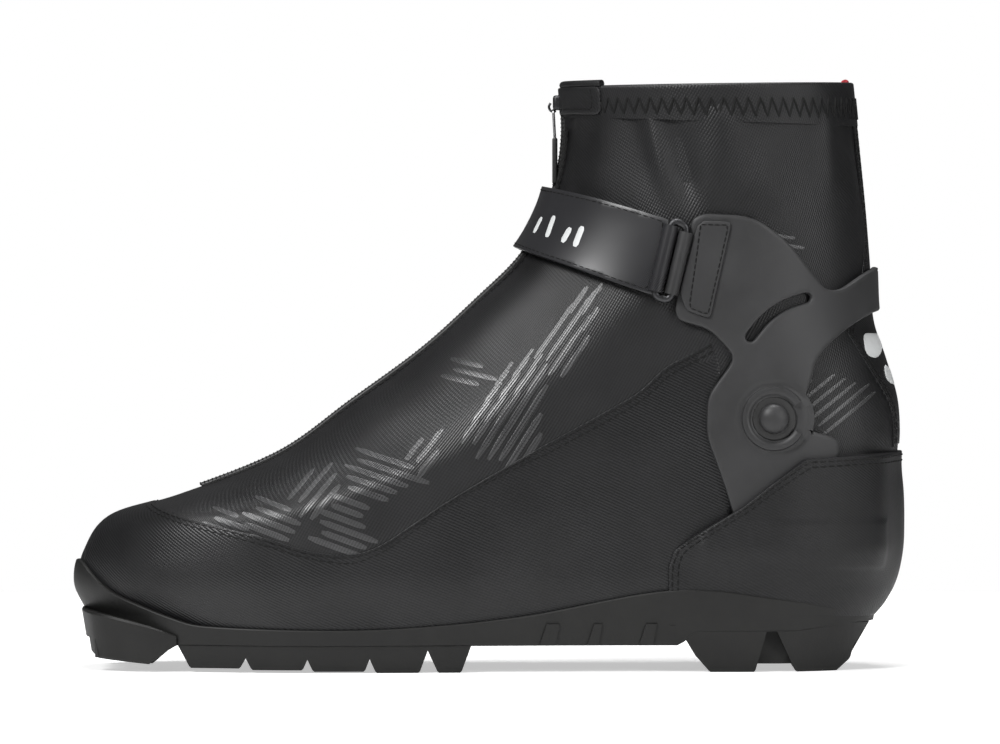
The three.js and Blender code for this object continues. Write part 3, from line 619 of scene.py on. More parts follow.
def creases(turn, level, point):
    """Soft folds: upright ones in the collar, cross ones where the instep bends."""
    x, z = point[..., 0], point[..., 2]
    front = np.exp(-((np.mod(turn + 0.5, 1) - 0.5) / 0.13) ** 2)
    collar = smoothstep(160, 180, z) * (1 - smoothstep(198, 208, z))
    around = turn * 2 * np.pi
    upright = np.sin(around * 7 + 0.045 * z + 0.6) + 0.5 * np.sin(around * 15 + 1.3 - 0.06 * z)
    pleat_crest = np.exp(-(((x - 62) + (z - 178) * 0.28) / 3.2) ** 2)
    pleat_valley = np.exp(-(((x - 70) + (z - 178) * 0.25) / 4) ** 2)
    across = np.sin((x * 0.9 - z) / 7.5 + 1) * np.exp(-((z - 120) / 22) ** 2) * (1 - front * 0.6)
    slow = np.sin(x / 13 + 1) * np.sin(z / 17 + 2)
    soft = 0.35 * across * smoothstep(92, 112, z) + 0.25 * slow * smoothstep(40, 60, z)
    return collar * (0.75 * upright + 1.7 * (pleat_crest - 0.8 * pleat_valley)) + soft


def wrapped(name, low, high, inner, outer, material, rows, columns, folds=None, rim=0.9):
    """A closed tube of cloth round the whole skin between two levels, with a rounded upper rim."""
    turn = np.arange(columns) / columns
    levels = np.linspace(low, high, rows)
    grid_turn, grid_level = np.meshgrid(turn, levels)
    outside = skin(grid_turn, grid_level, outer)
    if folds:
        height = outer + folds(grid_turn, grid_level, outside)
        outside = skin(grid_turn, grid_level, height)
    inside_wall = skin(grid_turn, grid_level, inner)
    middle = (outside[-1] + inside_wall[-1]) / 2
    half = (outside[-1] - inside_wall[-1]) / 2
    bend = []
    for angle in np.radians([22, 45, 68, 90, 112, 135, 158]):
        bend.append(middle + half * math.cos(angle) + np.array([0, 0, rim]) * math.sin(angle))
    rings = np.concatenate([outside, np.array(bend), inside_wall[::-1]])
    faces = grid_faces(len(rings), columns, wrap=True)
    end = (len(rings) - 1) * columns
    faces += [(end + c, end + (c + 1) % columns, (c + 1) % columns, c) for c in range(columns)]
    return mesh_object(name, rings.reshape(-1, 3), faces, material)


COLLAR_TOP = 0.972
cover = wrapped("softshell_cover", 0.004, COLLAR_TOP, -1.7, 0.0, softshell, 150, 260, creases)
settle(cover, None, [
    "vamp_cover_lateral", "vamp_cover_medial", "instep_flex_panel", "heel_quarter_lateral",
    "heel_quarter_medial", "achilles_flex_panel", "shaft_cover_lateral", "shaft_cover_medial"])

# The folded edge of the collar, its zigzag seam, and the lining inside
collar = wrapped("collar_fold", 0.951, 0.994, -2.0, 0.65, softshell, 9, 260)
settle(collar, BODY_CUFF, ["collar_binding"])
zigzag_turn = np.linspace(0, 1, 2 * 74 + 1)
zigzag_level = np.where(np.arange(len(zigzag_turn)) % 2 == 0, 0.957, 0.977)
zigzag = [ridge(np.linspace(zigzag_turn[i], zigzag_turn[i + 1], 4),
                np.linspace(zigzag_level[i], zigzag_level[i + 1], 4), 0.62, 0.95, 0.45)
          for i in range(len(zigzag_turn) - 1)]
lines("collar_zigzag", zigzag, thread, BODY_CUFF)



def liner_waves(turn, level, point):
    """The padding swells between its seams above the ankle."""
    return 0.25 * np.sin(turn * 2 * np.pi * 13) * smoothstep(60, 120, point[..., 2])


liner = wrapped("liner_padding", 0.04, 0.985, -6.8, -1.9, lining, 90, 160, liner_waves, 1.6)
settle(liner, None, ["liner_bootie"])

tongue_edge = [(-0.15, 0.42), (-0.17, 0.6), (-0.155, 0.9), (-0.12, 0.96), (0, 0.975),
               (0.12, 0.96), (0.155, 0.9), (0.17, 0.6), (0.15, 0.42), (0, 0.4)]
tongue_loop = resample(np.array(tongue_edge) * PLANE, 6) / PLANE
tongue = patch("tongue_pad", tongue_loop, -10.9, -7.0, lining, 1.4, 4)
settle(tongue, None, ["tongue"])

# ---------------------------------------------------------------------------
# Toe and side panel
# ---------------------------------------------------------------------------

VAMP_SEAM = [(-124, 62), (-120, 58.8), (-116, 57), (-105.2, 54), (-91.7, 51.2), (-78, 47.8),
             (-64.5, 43.7), (-50.8, 42.4), (-39.8, 45.3), (-26.1, 54.1), (-12.5, 63), (14.6, 78.6),
             (28.3, 86.1), (41.9, 93.6), (53.3, 100.4), (62.2, 108.6), (70, 113), (78.9, 118)]
seam = on_side(smooth(VAMP_SEAM, 60))
seam[0, 0] = 0
panel_rear = on_side([(82, 110), (84, 85), (86, 60), (84, 30)])
panel_foot = np.array([(panel_rear[-1, 0], 0.003), (0.0, 0.003)])
lateral_half = np.concatenate([seam, panel_rear, resample(panel_foot, 0.02)])
toe_outline = np.concatenate([lateral_half[:-1], mirrored(lateral_half, 0)])
panel = patch("toe_side_cover", toe_outline, -0.5, 0.55, toe_twill, 0.35, 2.2,
              relief=lambda p: 0.22 * np.sin(p[:, 0] / 9) * np.sin(p[:, 2] / 7 + 1))
settle(panel, BODY_FOOT, ["toe_side_panel"])

made = []
for path in (seam[3:], mirrored(seam[3:], 0)):
    for distance in (1.1, 3.2):
        made += stitch_row(beside(path, -distance), 0.55)
lines("vamp_seam_stitches", made, thread, BODY_FOOT)

# ---------------------------------------------------------------------------
# Heel overlay: a moulded panel round the heel
# ---------------------------------------------------------------------------

OVERLAY_EDGE = [(63.8, 14), (63.8, 38), (65.9, 43.9), (71.8, 48.3), (89.9, 59.1), (104.4, 70.7),
                (111.6, 76.5), (126.2, 77.3), (150, 78.5)]
OVERLAY_LIFT = 4.7
PRESSED = {"low": 37.3, "high": 54, "front": 91, "rear": 139, "slant": 0.36, "height": 0.5}


def overlay_height(p):
    """The overlay stands away where the cuff's tail slides under it, and has a pressed trapezoid."""
    x, z = p[:, 0], p[:, 2]
    pocket = OVERLAY_LIFT * smoothstep(66, 78, x) * (1 - smoothstep(134, 146, x)) * smoothstep(30, 46, z)
    below_top = PRESSED["high"] - z
    from_front = x - PRESSED["front"] - below_top * PRESSED["slant"]
    edge = np.minimum.reduce([z - PRESSED["low"], below_top, from_front, PRESSED["rear"] - x])
    return pocket + PRESSED["height"] * smoothstep(-1.0, 1.2, edge)


overlay_top = on_side(resample(OVERLAY_EDGE, 3))
overlay_top[-1, 0] = 0.5
overlay_half = np.concatenate([overlay_top[::-1], [(overlay_top[0, 0], 0.003)]])
overlay_foot = resample(np.array([overlay_half[-1], (0.5, 0.003)]), 0.01)
half_loop = np.concatenate([overlay_half[:-1], overlay_foot])
overlay_outline = np.concatenate([half_loop[:-1], mirrored(half_loop, 0.5)])[:-1]
overlay = patch("heel_overlay", overlay_outline, 0.2, 1.7, heel_twill, 0.5, 1.6, relief=overlay_height)
settle(overlay, BODY_FOOT, ["heel_counter_overlay"])


def lifted_rows(path, distances, base, relief):
    """Rows of stitches beside a path, at the height that relief gives."""
    rows = []
    for distance in distances:
        line = beside(path, distance)
        turn, level = measured(line, base, 2.9)
        height = base + relief(skin(turn, level))
        for i in range(len(turn) - 1):
            t = np.array([0.14, 0.3, 0.5, 0.7, 0.86])
            pick = [v[i] + (v[i + 1] - v[i]) * t for v in (turn, level, height)]
            rows.append(ridge(pick[0], pick[1], pick[2], 0.55, 0.28, 0.15))
    return rows


made = []
for side in (1, -1):
    path = overlay_top if side > 0 else mirrored(overlay_top, 0.5)
    made += lifted_rows(path, (-1.3, -3.4), 1.7, overlay_height)
lines("overlay_stitches", made, thread, BODY_FOOT)

# ---------------------------------------------------------------------------
# Cuff: the plastic brace that turns on the studs
# ---------------------------------------------------------------------------

CUFF_UPPER = [(72.3, 162.1), (76.3, 163.9), (89.2, 163.3), (95.8, 161.4), (105.6, 153.9), (118.7, 136.5),
              (124, 136.4), (136.2, 144.6), (148, 145)]
CUFF_LOWER = [(148, 128.8), (137.2, 129.2), (128, 123.4), (120.9, 117.9), (114.8, 110.6), (114.1, 101)]
CUFF_TAIL = [(113.6, 86.6), (124.5, 83.5), (123, 73), (112, 66.5), (101, 58), (92, 50.5),
             (88.5, 51.5), (82.6, 69.9), (77.1, 84.8), (77.6, 98.8), (87.6, 112.6), (78.5, 122.5),
             (67.2, 125.8), (65.8, 129.4)]
SLOT_LINE = [(92.9, 120), (98, 126.3), (104.5, 131), (111.9, 133.7)]
SLOT_WIDTH = 3.6


def rounded(points, radius, steps=4):
    """An open line whose inner corners are rounded."""
    points = [np.array(p, float) for p in points]
    out = [points[0]]
    for before, corner, after in zip(points[:-2], points[1:-1], points[2:]):
        reach = min(radius, *(0.45 * np.linalg.norm(p - corner) for p in (before, after)))
        a = corner + (before - corner) / np.linalg.norm(before - corner) * reach
        b = corner + (after - corner) / np.linalg.norm(after - corner) * reach
        for t in np.linspace(0, 1, steps):
            out.append((1 - t) ** 2 * a + 2 * t * (1 - t) * corner + t**2 * b)
    return np.array(out + [points[-1]])


def capsule(path, width, steps=7):
    """A closed outline round a line, with round ends."""
    path = smooth(path, 10)
    ahead = np.gradient(path, axis=0)
    angle = np.arctan2(ahead[:, 1], ahead[:, 0])
    loop = []
    for i in range(len(path)):
        loop.append(path[i] + width / 2 * np.array([math.sin(angle[i]), -math.cos(angle[i])]))
    for t in np.linspace(-90, 90, steps)[1:-1]:
        a = angle[-1] + math.radians(t)
        loop.append(path[-1] + width / 2 * np.array([math.cos(a), math.sin(a)]))
    for i in range(len(path) - 1, -1, -1):
        loop.append(path[i] - width / 2 * np.array([math.sin(angle[i]), -math.cos(angle[i])]))
    for t in np.linspace(90, 270, steps)[1:-1]:
        a = angle[0] + math.radians(t)
        loop.append(path[0] + width / 2 * np.array([math.cos(a), math.sin(a)]))
    return np.array(loop)


def arc(start, end, radius, steps=12):
    angles = np.radians(np.linspace(start, end, steps))
    return np.stack([PIVOT[0] + radius * np.cos(angles), PIVOT[2] + radius * np.sin(angles)], axis=-1)


upper = rounded(CUFF_UPPER, 5)[::-1]
front = rounded([CUFF_UPPER[1], CUFF_UPPER[0], CUFF_TAIL[-1], CUFF_TAIL[-2]], 2)[1:-1]
tail = rounded(CUFF_TAIL, 4)[::-1][1:]
lower = rounded(CUFF_LOWER, 5)[::-1][1:]
cuff_line = np.concatenate([upper[:-1], front, tail, arc(-22, 38, 14), lower])
cuff_half = on_side(resample(cuff_line, 2.0))
cuff_half[0, 0] = cuff_half[-1, 0] = 0.5
cuff_outline = np.concatenate([cuff_half[:-1], mirrored(cuff_half, 0.5)])[:-1]
slot_hole = on_side(capsule(SLOT_LINE, SLOT_WIDTH))
cuff_holes = [slot_hole, mirrored(slot_hole, 0.5)]


def cuff_relief(p):
    """Waists round the pivot: a dished seat with a groove outside it."""
    r = np.hypot(p[:, 0] - PIVOT[0], p[:, 2] - PIVOT[2])
    return -0.7 * (1 - smoothstep(7.6, 8.6, r)) - 0.45 * np.exp(-((r - 12.5) / 0.8) ** 2)


brace = patch("cuff_brace", cuff_outline, 1.15, 3.2, plastic, 1.05, 1.25, cuff_holes, cuff_relief)
settle(brace, BODY_CUFF, ["cuff_exoskeleton"])

# ---------------------------------------------------------------------------
# Strap: an under layer from the inner side, and an outer layer through the ring
# ---------------------------------------------------------------------------

STRAP_UPPER = [(24.4, 172.4), (31, 171), (41.6, 168.5), (58.8, 163.4), (66, 161)]
STRAP_LOWER = [(12.2, 149.2), (19, 147), (28.7, 144), (50.1, 137), (60.5, 134)]


# The under layer reaches further back on the inner side
LONG_UPPER = [*STRAP_UPPER, (84, 155.5)]
LONG_LOWER = [*STRAP_LOWER, (80, 129.5)]


def strap_outline(lateral_end, medial_end, narrow=0.0, edges=(STRAP_UPPER, STRAP_LOWER)):
    """The strap's outline round the front; each end is (x at the lower edge, x at the upper edge)."""
    upper, lower = (smooth(edge, 30) for edge in edges)
    upper[:, 1] -= narrow
    lower[:, 1] += narrow
    sides = []
    for low_x, high_x in (lateral_end, medial_end):
        top_x, foot_x = np.linspace(upper[0, 0], high_x, 14), np.linspace(lower[0, 0], low_x, 18)
        top = on_side(np.stack([top_x, np.interp(top_x, *upper.T)], 1))
        foot = on_side(np.stack([foot_x, np.interp(foot_x, *lower.T)], 1))
        top[0, 0] = foot[0, 0] = 0
        sides.append(np.concatenate([foot, top[::-1]]))
    return np.concatenate([sides[0][:-1], mirrored(sides[1], 0)[:-1]])


strap_over = patch("strap_over", strap_outline((58.6, 64.6), (33, 39)), 4.0, 5.1, strap_coat, 0.3, 2.2)
settle(strap_over, "flap", ["strap_flap"])
hook_layer = patch("strap_hooks", strap_outline((37, 40), (31, 36), 0.5), 3.05, 3.98, rough_loops, 0.2, 2.2)
settle(hook_layer, "flap", ["strap_hook_patch"])
loop_layer = patch("strap_loops", strap_outline((50, 54), (36, 40), 0.3), 2.4, 3.0, rough_loops, 0.2, 2.2)
settle(loop_layer, BODY_CUFF, ["strap_loop_patch"])


def strap_base_lift(p):
    """On the inner side the under layer climbs over the brace."""
    return np.where(p[:, 1] > 0, 2.3 * smoothstep(50, 62, p[:, 0]), 0)


under_loop = strap_outline((57, 62), (79, 83), 0.6, (LONG_UPPER, LONG_LOWER))
under = patch("strap_under", under_loop, 1.3, 2.35, strap_coat, 0.3, 2.2, relief=strap_base_lift)
settle(under, BODY_CUFF, ["strap_base"])

outer_edge = strap_outline((56.5, 62.5), (31, 37), 1.4, (LONG_UPPER, LONG_LOWER))
edge_rows = stitch_row(outer_edge, 5.1, 2.6, 1.9, 0.4, 0.2)
lines("strap_edge_stitches", edge_rows, thread, "flap")

# A plain row of pale bars stands in for a printed mark
bars = []
for x, height in [(15.5, 8.5), (20.5, 6), (24.5, 8), (29.5, 5.5), (33.5, 7.5)]:
    low = np.interp(x, *np.array(STRAP_LOWER).T) + 8.2
    bar = on_side([(x - 0.8, low), (x + 0.7, low + height / 2), (x + 2.2, low + height)])
    turn, level = measured(bar, 5.1, 1.0)
    bars.append(ridge(turn, level, 5.1, 2.4, 0.12, 0.1))
lines("strap_bars", bars, print_silver, "flap")

# ---------------------------------------------------------------------------
# Ring, the sleeve of the strap round it, and the tab that keeps it
# ---------------------------------------------------------------------------

RING_WIRE = 1.4
RING_Y = -42.47
RING_FRONT = [(58.6, 135.2), (64.8, 160.8)]
RING_REAR = [(64.2, 133.6), (70.2, 158.8)]


def along_bar(bar, start, end, steps=12):
    (x0, z0), (x1, z1) = bar
    shares = np.linspace(start, end, steps)
    return np.array([(x0 + (x1 - x0) * t, RING_Y, z0 + (z1 - z0) * t) for t in shares])


def loop_through(corners, radius, steps=7):
    """A closed path through corners with round bends."""
    corners = [np.array(c, float) for c in corners]
    out = []
    for i, corner in enumerate(corners):
        before, after = corners[i - 1], corners[(i + 1) % len(corners)]
        a = corner + (before - corner) / np.linalg.norm(before - corner) * radius
        b = corner + (after - corner) / np.linalg.norm(after - corner) * radius
        for t in np.linspace(0, 1, steps):
            out.append((1 - t) ** 2 * a + 2 * t * (1 - t) * corner + t**2 * b)
    return np.array(out)


corners = [along_bar(RING_FRONT, -0.03, 0)[0], along_bar(RING_FRONT, 0, 1.03)[-1],
           along_bar(RING_REAR, 0, 1.03)[-1], along_bar(RING_REAR, -0.03, 0)[0]]
vertices, faces = tube(loop_through(corners, 2.6), RING_WIRE, 14, closed=True)
settle(mesh_object("ring_wire", vertices, faces, dark_metal, 60), "ring", ["strap_ring"])


def sleeve(name, bar, start, end, radius, material, body):
    """Folded webbing round a bar: a round tube with flat ends."""
    path = along_bar(bar, start, end, 16)
    made, faces = tube(path, radius, 20)
    return settle(mesh_object(name, made, faces, material, 50), body)


sleeve("strap_sleeve", RING_FRONT, 0.04, 0.96, 2.75, strap_coat, "flap")
sleeve("keeper_sleeve", RING_REAR, 0.06, 0.94, 2.5, plastic, BODY_CUFF)

KEEPER = [(73.4, 157.6), (74.6, 161.4), (86.2, 161), (78.4, 126.4), (69.8, 129.4), (67.6, 136)]
keeper_line = rounded([*KEEPER, KEEPER[0], KEEPER[1]], 2)[4:]
keeper = patch("ring_keeper", on_side(resample(keeper_line, 2.5))[:-1], 3.0, 4.3, plastic, 0.45, 1.6)
settle(keeper, BODY_CUFF, ["ring_keeper_tab"])
BOX_SEAM = [(75.2, 160), (85, 159.8), (77.7, 127.8), (71, 130.4), (75.2, 160)]
box_rows = stitch_row(on_side(resample(BOX_SEAM, 3)), 4.3, 2.3, 1.7, 0.5, 0.25)
lines("keeper_stitches", box_rows, thread, BODY_CUFF)

# ---------------------------------------------------------------------------
# Studs, washers and the open ring moulded round the pivot
# ---------------------------------------------------------------------------


def dome(radius, base, height, steps=8):
    """A lathe profile of a low dome with a straight skirt."""
    points = [(0, base - 3), (radius, base - 3), (radius, base)]
    for angle in np.radians(np.linspace(15, 90, steps)):
        points.append((radius * math.cos(angle) * 0.985, base + height * math.sin(angle)))
    return points


def half_width_at(x, z, lateral):
    turn, level = on_side([(x, z)])[0]
    return abs(float(skin(np.array([turn]), np.array([level]))[0, 1]))


for side, out in (("lateral", -1), ("medial", 1)):
    surface = out * half_width_at(PIVOT[0], PIVOT[2], out < 0)
    centre = (PIVOT[0], surface, PIVOT[2])
    head = lathe(dome(5.4, 3.2, 2.9), centre, out, 48)
    stud = mesh_object(f"stud_{side}", *head, plastic, 35)
    settle(stud, BODY_FOOT, [f"pivot_stud_{side}"])
    disc = lathe([(0, 1.4), (7.9, 1.4), (7.9, 2.6), (7.5, 2.95), (0, 2.95)], centre, out, 48)
    washer = mesh_object(f"washer_{side}", *disc, hard_black, 35)
    settle(washer, BODY_FOOT, [f"pivot_washer_{side}"])
    band_profile = [(8.4, 1.6), (11.6, 1.6), (11.6, 3.3), (11.2, 3.95), (10.2, 4.15), (9, 3.95), (8.4, 3.3)]
    band = lathe(band_profile, centre, out, 72, 32, 330)
    c_ring = mesh_object(f"cuff_c_ring_{side}", *band, plastic, 40)
    settle(c_ring, BODY_CUFF)

rivet = lathe([(0, 1.5), (4, 1.5), (4, 5.4), (3.6, 6.1), (0, 6.5)],
              (76, half_width_at(76, 145, False), 145), 1, 40)
settle(mesh_object("strap_rivet", *rivet, dark_metal, 35), BODY_CUFF, ["strap_anchor_rivet"])

# ---------------------------------------------------------------------------
# Zip: covered tape down the front, slider, wire pull and tail
# ---------------------------------------------------------------------------

ZIP_FOOT_LEVEL = on_side([(-98.5, 65.4)])[0, 1]
ZIP_TOP_LEVEL = 0.955
zip_levels = np.linspace(ZIP_FOOT_LEVEL, ZIP_TOP_LEVEL, 150)
tape_edge = np.array([(0.012 + 0.008 * smoothstep(0.5, 0.9, v), v) for v in zip_levels[::6]])
tape_loop = np.concatenate([tape_edge, mirrored(tape_edge, 0)])
zip_tape = patch("zip_tape", tape_loop, -1.2, 0.55, tape_fabric, 0.3, 1.8)
settle(zip_tape, None, ["zip_lower", "zip_upper"])
zero = np.zeros_like(zip_levels)
bead = [ridge(zero + 0.0001, zip_levels, 0.4, 2.6, 1.0, 0.5)]
turn, level = measured(np.stack([zero, zip_levels], axis=-1), 1.0, 1.5)
for t, v in zip(turn, level):
    across = np.array([-0.0032, 0, 0.0032]) * (1 + smoothstep(0.5, 0.9, v))
    bead.append(ridge(t + across, v + np.zeros(3), 0.9, 0.75, 0.75, 0.4))
lines("zip_coil", bead, hard_black)
made = []
for distance in (0.9, 2.4):
    for sign in (1, -1):
        path = np.stack([sign * np.abs(tape_edge[:, 0]), tape_edge[:, 1]], axis=-1)
        made += stitch_row(beside(path, -sign * distance), 0.1)
lines("zip_stitches", made, thread)


def chamfered(name, low, high, bevel, material, body, replaces=()):
    """A small block with rounded edges."""
    obj = block_mesh(name, low, high, material, 60)
    modifier = obj.modifiers.new("round", "BEVEL")
    modifier.width = bevel * MM
    modifier.segments = 4
    return settle(obj, body, replaces)


NOSE_X = 26.86
chamfered("slider_body", (NOSE_X - 4.2, -3.2, 201.2), (NOSE_X + 0.3, 3.2, 206.6), 1.1,
          dark_metal, "slider", ["zip_slider"])
wire_x = NOSE_X - 3.4
bow = [(wire_x - 1.6, 0, 203.8), (wire_x - 2.2, 0, 202.4), (wire_x - 1.4, 0, 200.9), (wire_x + 0.4, 0, 200.9)]
vertices, faces = tube(smooth(bow, 12), 0.45, 8)
settle(mesh_object("slider_bow", vertices, faces, dark_metal), "slider")
wire_corners = [(wire_x - 0.6, -1.4, 201.2), (wire_x, -1.4, 190.2), (wire_x, 1.4, 190.2),
                (wire_x - 0.6, 1.4, 201.2)]
vertices, faces = tube(loop_through(wire_corners, 1.2), 0.5, 8, closed=True)
settle(mesh_object("pull_wire", vertices, faces, bright_metal), "pull", ["zip_pull_wire"])
chamfered("pull_tail", (wire_x - 1.0, -2.3, 174.5), (wire_x + 0.9, 2.3, 191.3), 0.7, hard_black,
          "pull", ["zip_pull_tail"])

# The garage: a folded flap over the zip's top end
GARAGE_HALF = 0.118
garage_edge = [(-GARAGE_HALF, 0.955), (-GARAGE_HALF, 0.998), (GARAGE_HALF, 0.998), (GARAGE_HALF, 0.955)]
garage_loop = rounded([*garage_edge, *garage_edge[:2]], 0.01)[4:-1]
garage = patch("zip_garage", resample(garage_loop * PLANE, 2) / PLANE, 0.55, 1.75, softshell, 0.5, 1.6)
settle(garage, BODY_CUFF, ["zip_top_tab"])
roll_turn = np.linspace(-GARAGE_HALF, GARAGE_HALF, 40)
roll = skin(roll_turn, np.full(40, 0.995), -0.2) + np.array([0, 0, 1.3])
vertices, faces = tube(roll, 1.45, 12)
settle(mesh_object("garage_roll", vertices, faces, softshell), BODY_CUFF)
garage_seam = np.array([(-0.105, 0.992), (-0.105, 0.962), (0.105, 0.962), (0.105, 0.992)])
garage_rows = stitch_row(garage_seam, 1.75, 2.0, 1.5, 0.5, 0.25)
lines("garage_stitches", garage_rows, thread, BODY_CUFF)

# ---------------------------------------------------------------------------
# Sole: rand, chassis, toe block, lugs and heel
# ---------------------------------------------------------------------------

RAND_UPPER = [(-160, 40), (-147.5, 39.8), (-143, 38.4), (-138, 33.5), (-132, 28), (-123.4, 23.5),
              (-113.4, 19.2), (-98.5, 16.4), (-42.7, 15.6), (10, 20), (63.6, 29.5), (101.3, 26.3),
              (140.1, 20), (160, 20)]
CHASSIS_FOOT = [(-150, 6.6), (-143.3, 6.4), (-141.1, 4.6), (-121.6, 2.8), (-117.5, 6), (-113, 9.6),
                (68, 9.6), (73, 14.3), (110, 14.5), (127, 17), (160, 18)]
RAND_OUT = 2.2
WALL_START = 20.0  # below this height the wall leaves the skin and leans in
WALL_DRAFT = 0.2
GROOVE_CENTRE = 13.0
GROOVE_HALF = 4.0
GROOVE_TOP = 6.6  # the grooves under the sole end at this height
UNDER_FLOOR = -1

TURN_COUNT = 320
turns = np.arange(TURN_COUNT) / TURN_COUNT
TOE_FLARE = 4.5  # the rand widens towards the toe block at its two sides
lower_x = skin_base(turns, 0.1 + 0 * turns)[:, 0]
toe_sides = np.sin(2 * np.pi * turns) ** 2 * (1 - smoothstep(-135, -95, lower_x))
toe_sides *= 4 * smoothstep(0, 0.12, np.minimum(turns, 1 - turns)) / 1.6
level_steps = np.linspace(0, 0.4, 160)
heights_by_turn = np.array([skin_base(np.full(160, t), level_steps)[:, 2] for t in turns])


def wall(heights, offset):
    """One point of the sole's wall for each turn, at the height given for it."""
    heights = np.asarray(heights, float)
    upper = np.maximum(heights, WALL_START)
    offset = offset + TOE_FLARE * toe_sides * (1 - smoothstep(18, 38, heights))
    level = np.array([np.interp(h, row, level_steps) for h, row in zip(upper, heights_by_turn)])
    point, normal = skin(turns, level, offset), skin_normal(turns, level)
    flat = normal * np.array([1, 1, 0])
    flat /= np.maximum(np.linalg.norm(flat, axis=1, keepdims=True), 1e-9)
    point = point - flat * ((upper - heights) * WALL_DRAFT)[:, None]
    point[:, 2] = heights
    return point


plan_x = wall(np.full(TURN_COUNT, 22.0), 0)[:, 0]
rim_height = np.interp(plan_x, *smooth(RAND_UPPER, 200).T)
rim_height = (np.roll(rim_height, 1) + rim_height + np.roll(rim_height, -1)) / 3
foot_height = np.interp(wall(np.full(TURN_COUNT, 8.0), RAND_OUT)[:, 0], *np.array(CHASSIS_FOOT).T)


def ladder(start):
    """Faces that close a ring with strips from the outer side to the inner side."""
    half = TURN_COUNT // 2
    middle = [(start + i, start + i + 1, start + TURN_COUNT - i - 1, start + TURN_COUNT - i)
              for i in range(1, half - 1)]
    last = start + half
    return [(start, start + 1, start + TURN_COUNT - 1), *middle, (last - 1, last, last + 1)]


def closed_rings(rings):
    """(vertices, faces) of rings of the sole's outline, from the lowest outer one to the last, closed."""
    vertices = np.concatenate(rings)
    faces = grid_faces(len(rings), TURN_COUNT, wrap=True)
    bottom = [face[::-1] for face in ladder(0)]
    return vertices, faces + bottom + ladder((len(rings) - 1) * TURN_COUNT)


def carve(obj, cutter, operation="DIFFERENCE"):
    """Cuts obj with a closed cutter, and removes the cutter."""
    modifier = obj.modifiers.new("carve", "BOOLEAN")
    modifier.operation = operation
    modifier.solver = "EXACT"
    modifier.use_self = True
    modifier.object = cutter
    bpy.context.view_layer.update()
    evaluated = obj.evaluated_get(bpy.context.evaluated_depsgraph_get())
    mesh = bpy.data.meshes.new_from_object(evaluated)
    obj.modifiers.clear()
    obj.data = mesh
    bpy.data.objects.remove(cutter)
    finish_shading(obj, 32)
    return obj


rings = []
for share in np.linspace(0, 1, 22):
    rings.append(wall(foot_height + (rim_height - 0.5 - foot_height) * share, RAND_OUT))
rings[0] = wall(foot_height, RAND_OUT - 0.6)
rings.insert(1, wall(foot_height + 0.3, RAND_OUT - 0.15))
rings += [wall(rim_height - 0.15, RAND_OUT - 0.25), wall(rim_height, RAND_OUT - 0.8), wall(rim_height, 0.2)]
rings.append(wall(rim_height - 0.6, -1.4))
rings.append(wall(np.minimum(rim_height - 1, np.maximum(foot_height + 4, 13)), -1.4))
chassis = mesh_object("sole_body", *closed_rings(rings), rubber, 32)
carve(chassis, block_mesh("seat", (-160, -25.3, -5), (-125.7, 25.3, 11.9), rubber))
settle(chassis, BODY_FOOT, ["sole_chassis", "toe_bumper"])


BLOCK_TOP = [(-147, 22.4), (-134.7, 20), (-121.2, 16.4), (-112, 13)]


def arc_to(start, control, end, steps):
    shares = np.linspace(0, 1, steps)[1:]
    return [between(between(start, control, t), between(control, end, t), t) for t in shares]


def toe_plan():
    """The toe block seen from above, from the inner side round the front to the outer side."""
    side = arc_to((-112, 36.5), (-132, 35.5), (-139.5, 26), 12)
    front = arc_to((-139.5, 26), (-144.4, 20.5), (-145, 0), 12)
    half = [np.array([-112.0, 36.5]), *side, *front]
    return np.array(half + [p * [1, -1] for p in half[-2::-1]])


plan = toe_plan()
low_height = np.interp(plan[:, 0], *np.array(CHASSIS_FOOT).T)
top_height = np.interp(plan[:, 0], *np.array(BLOCK_TOP).T)
block_rings = []
for share in (0, 0.05, 0.2, 0.4, 0.6, 0.8, 0.95, 1):
    height = low_height + (top_height - low_height) * share
    pulled = (0.7 if share == 0 else 0) + (0.5 if share == 1 else 0)
    lean = 2.6 * share * smoothstep(-112, -140, plan[:, 0]) - pulled
    centre = np.array([-112.0, 0.0])
    away = (plan - centre) / np.maximum(np.linalg.norm(plan - centre, axis=1, keepdims=True), 1e-9)
    block_rings.append(np.column_stack([plan + away * lean[:, None], height]))
count = len(plan)
vertices = np.concatenate(block_rings)
faces = grid_faces(len(block_rings), count, wrap=True)
last_ring = (len(block_rings) - 1) * count
faces += [tuple(range(count - 1, -1, -1)), tuple(last_ring + c for c in range(count))]
toe_block = mesh_object("toe_block", vertices, [f[::-1] for f in faces], rubber, 32)
carve(toe_block, block_mesh("seat", (-160, -18, -5), (-125.7, 18, 11.9), rubber))
settle(toe_block, BODY_FOOT)


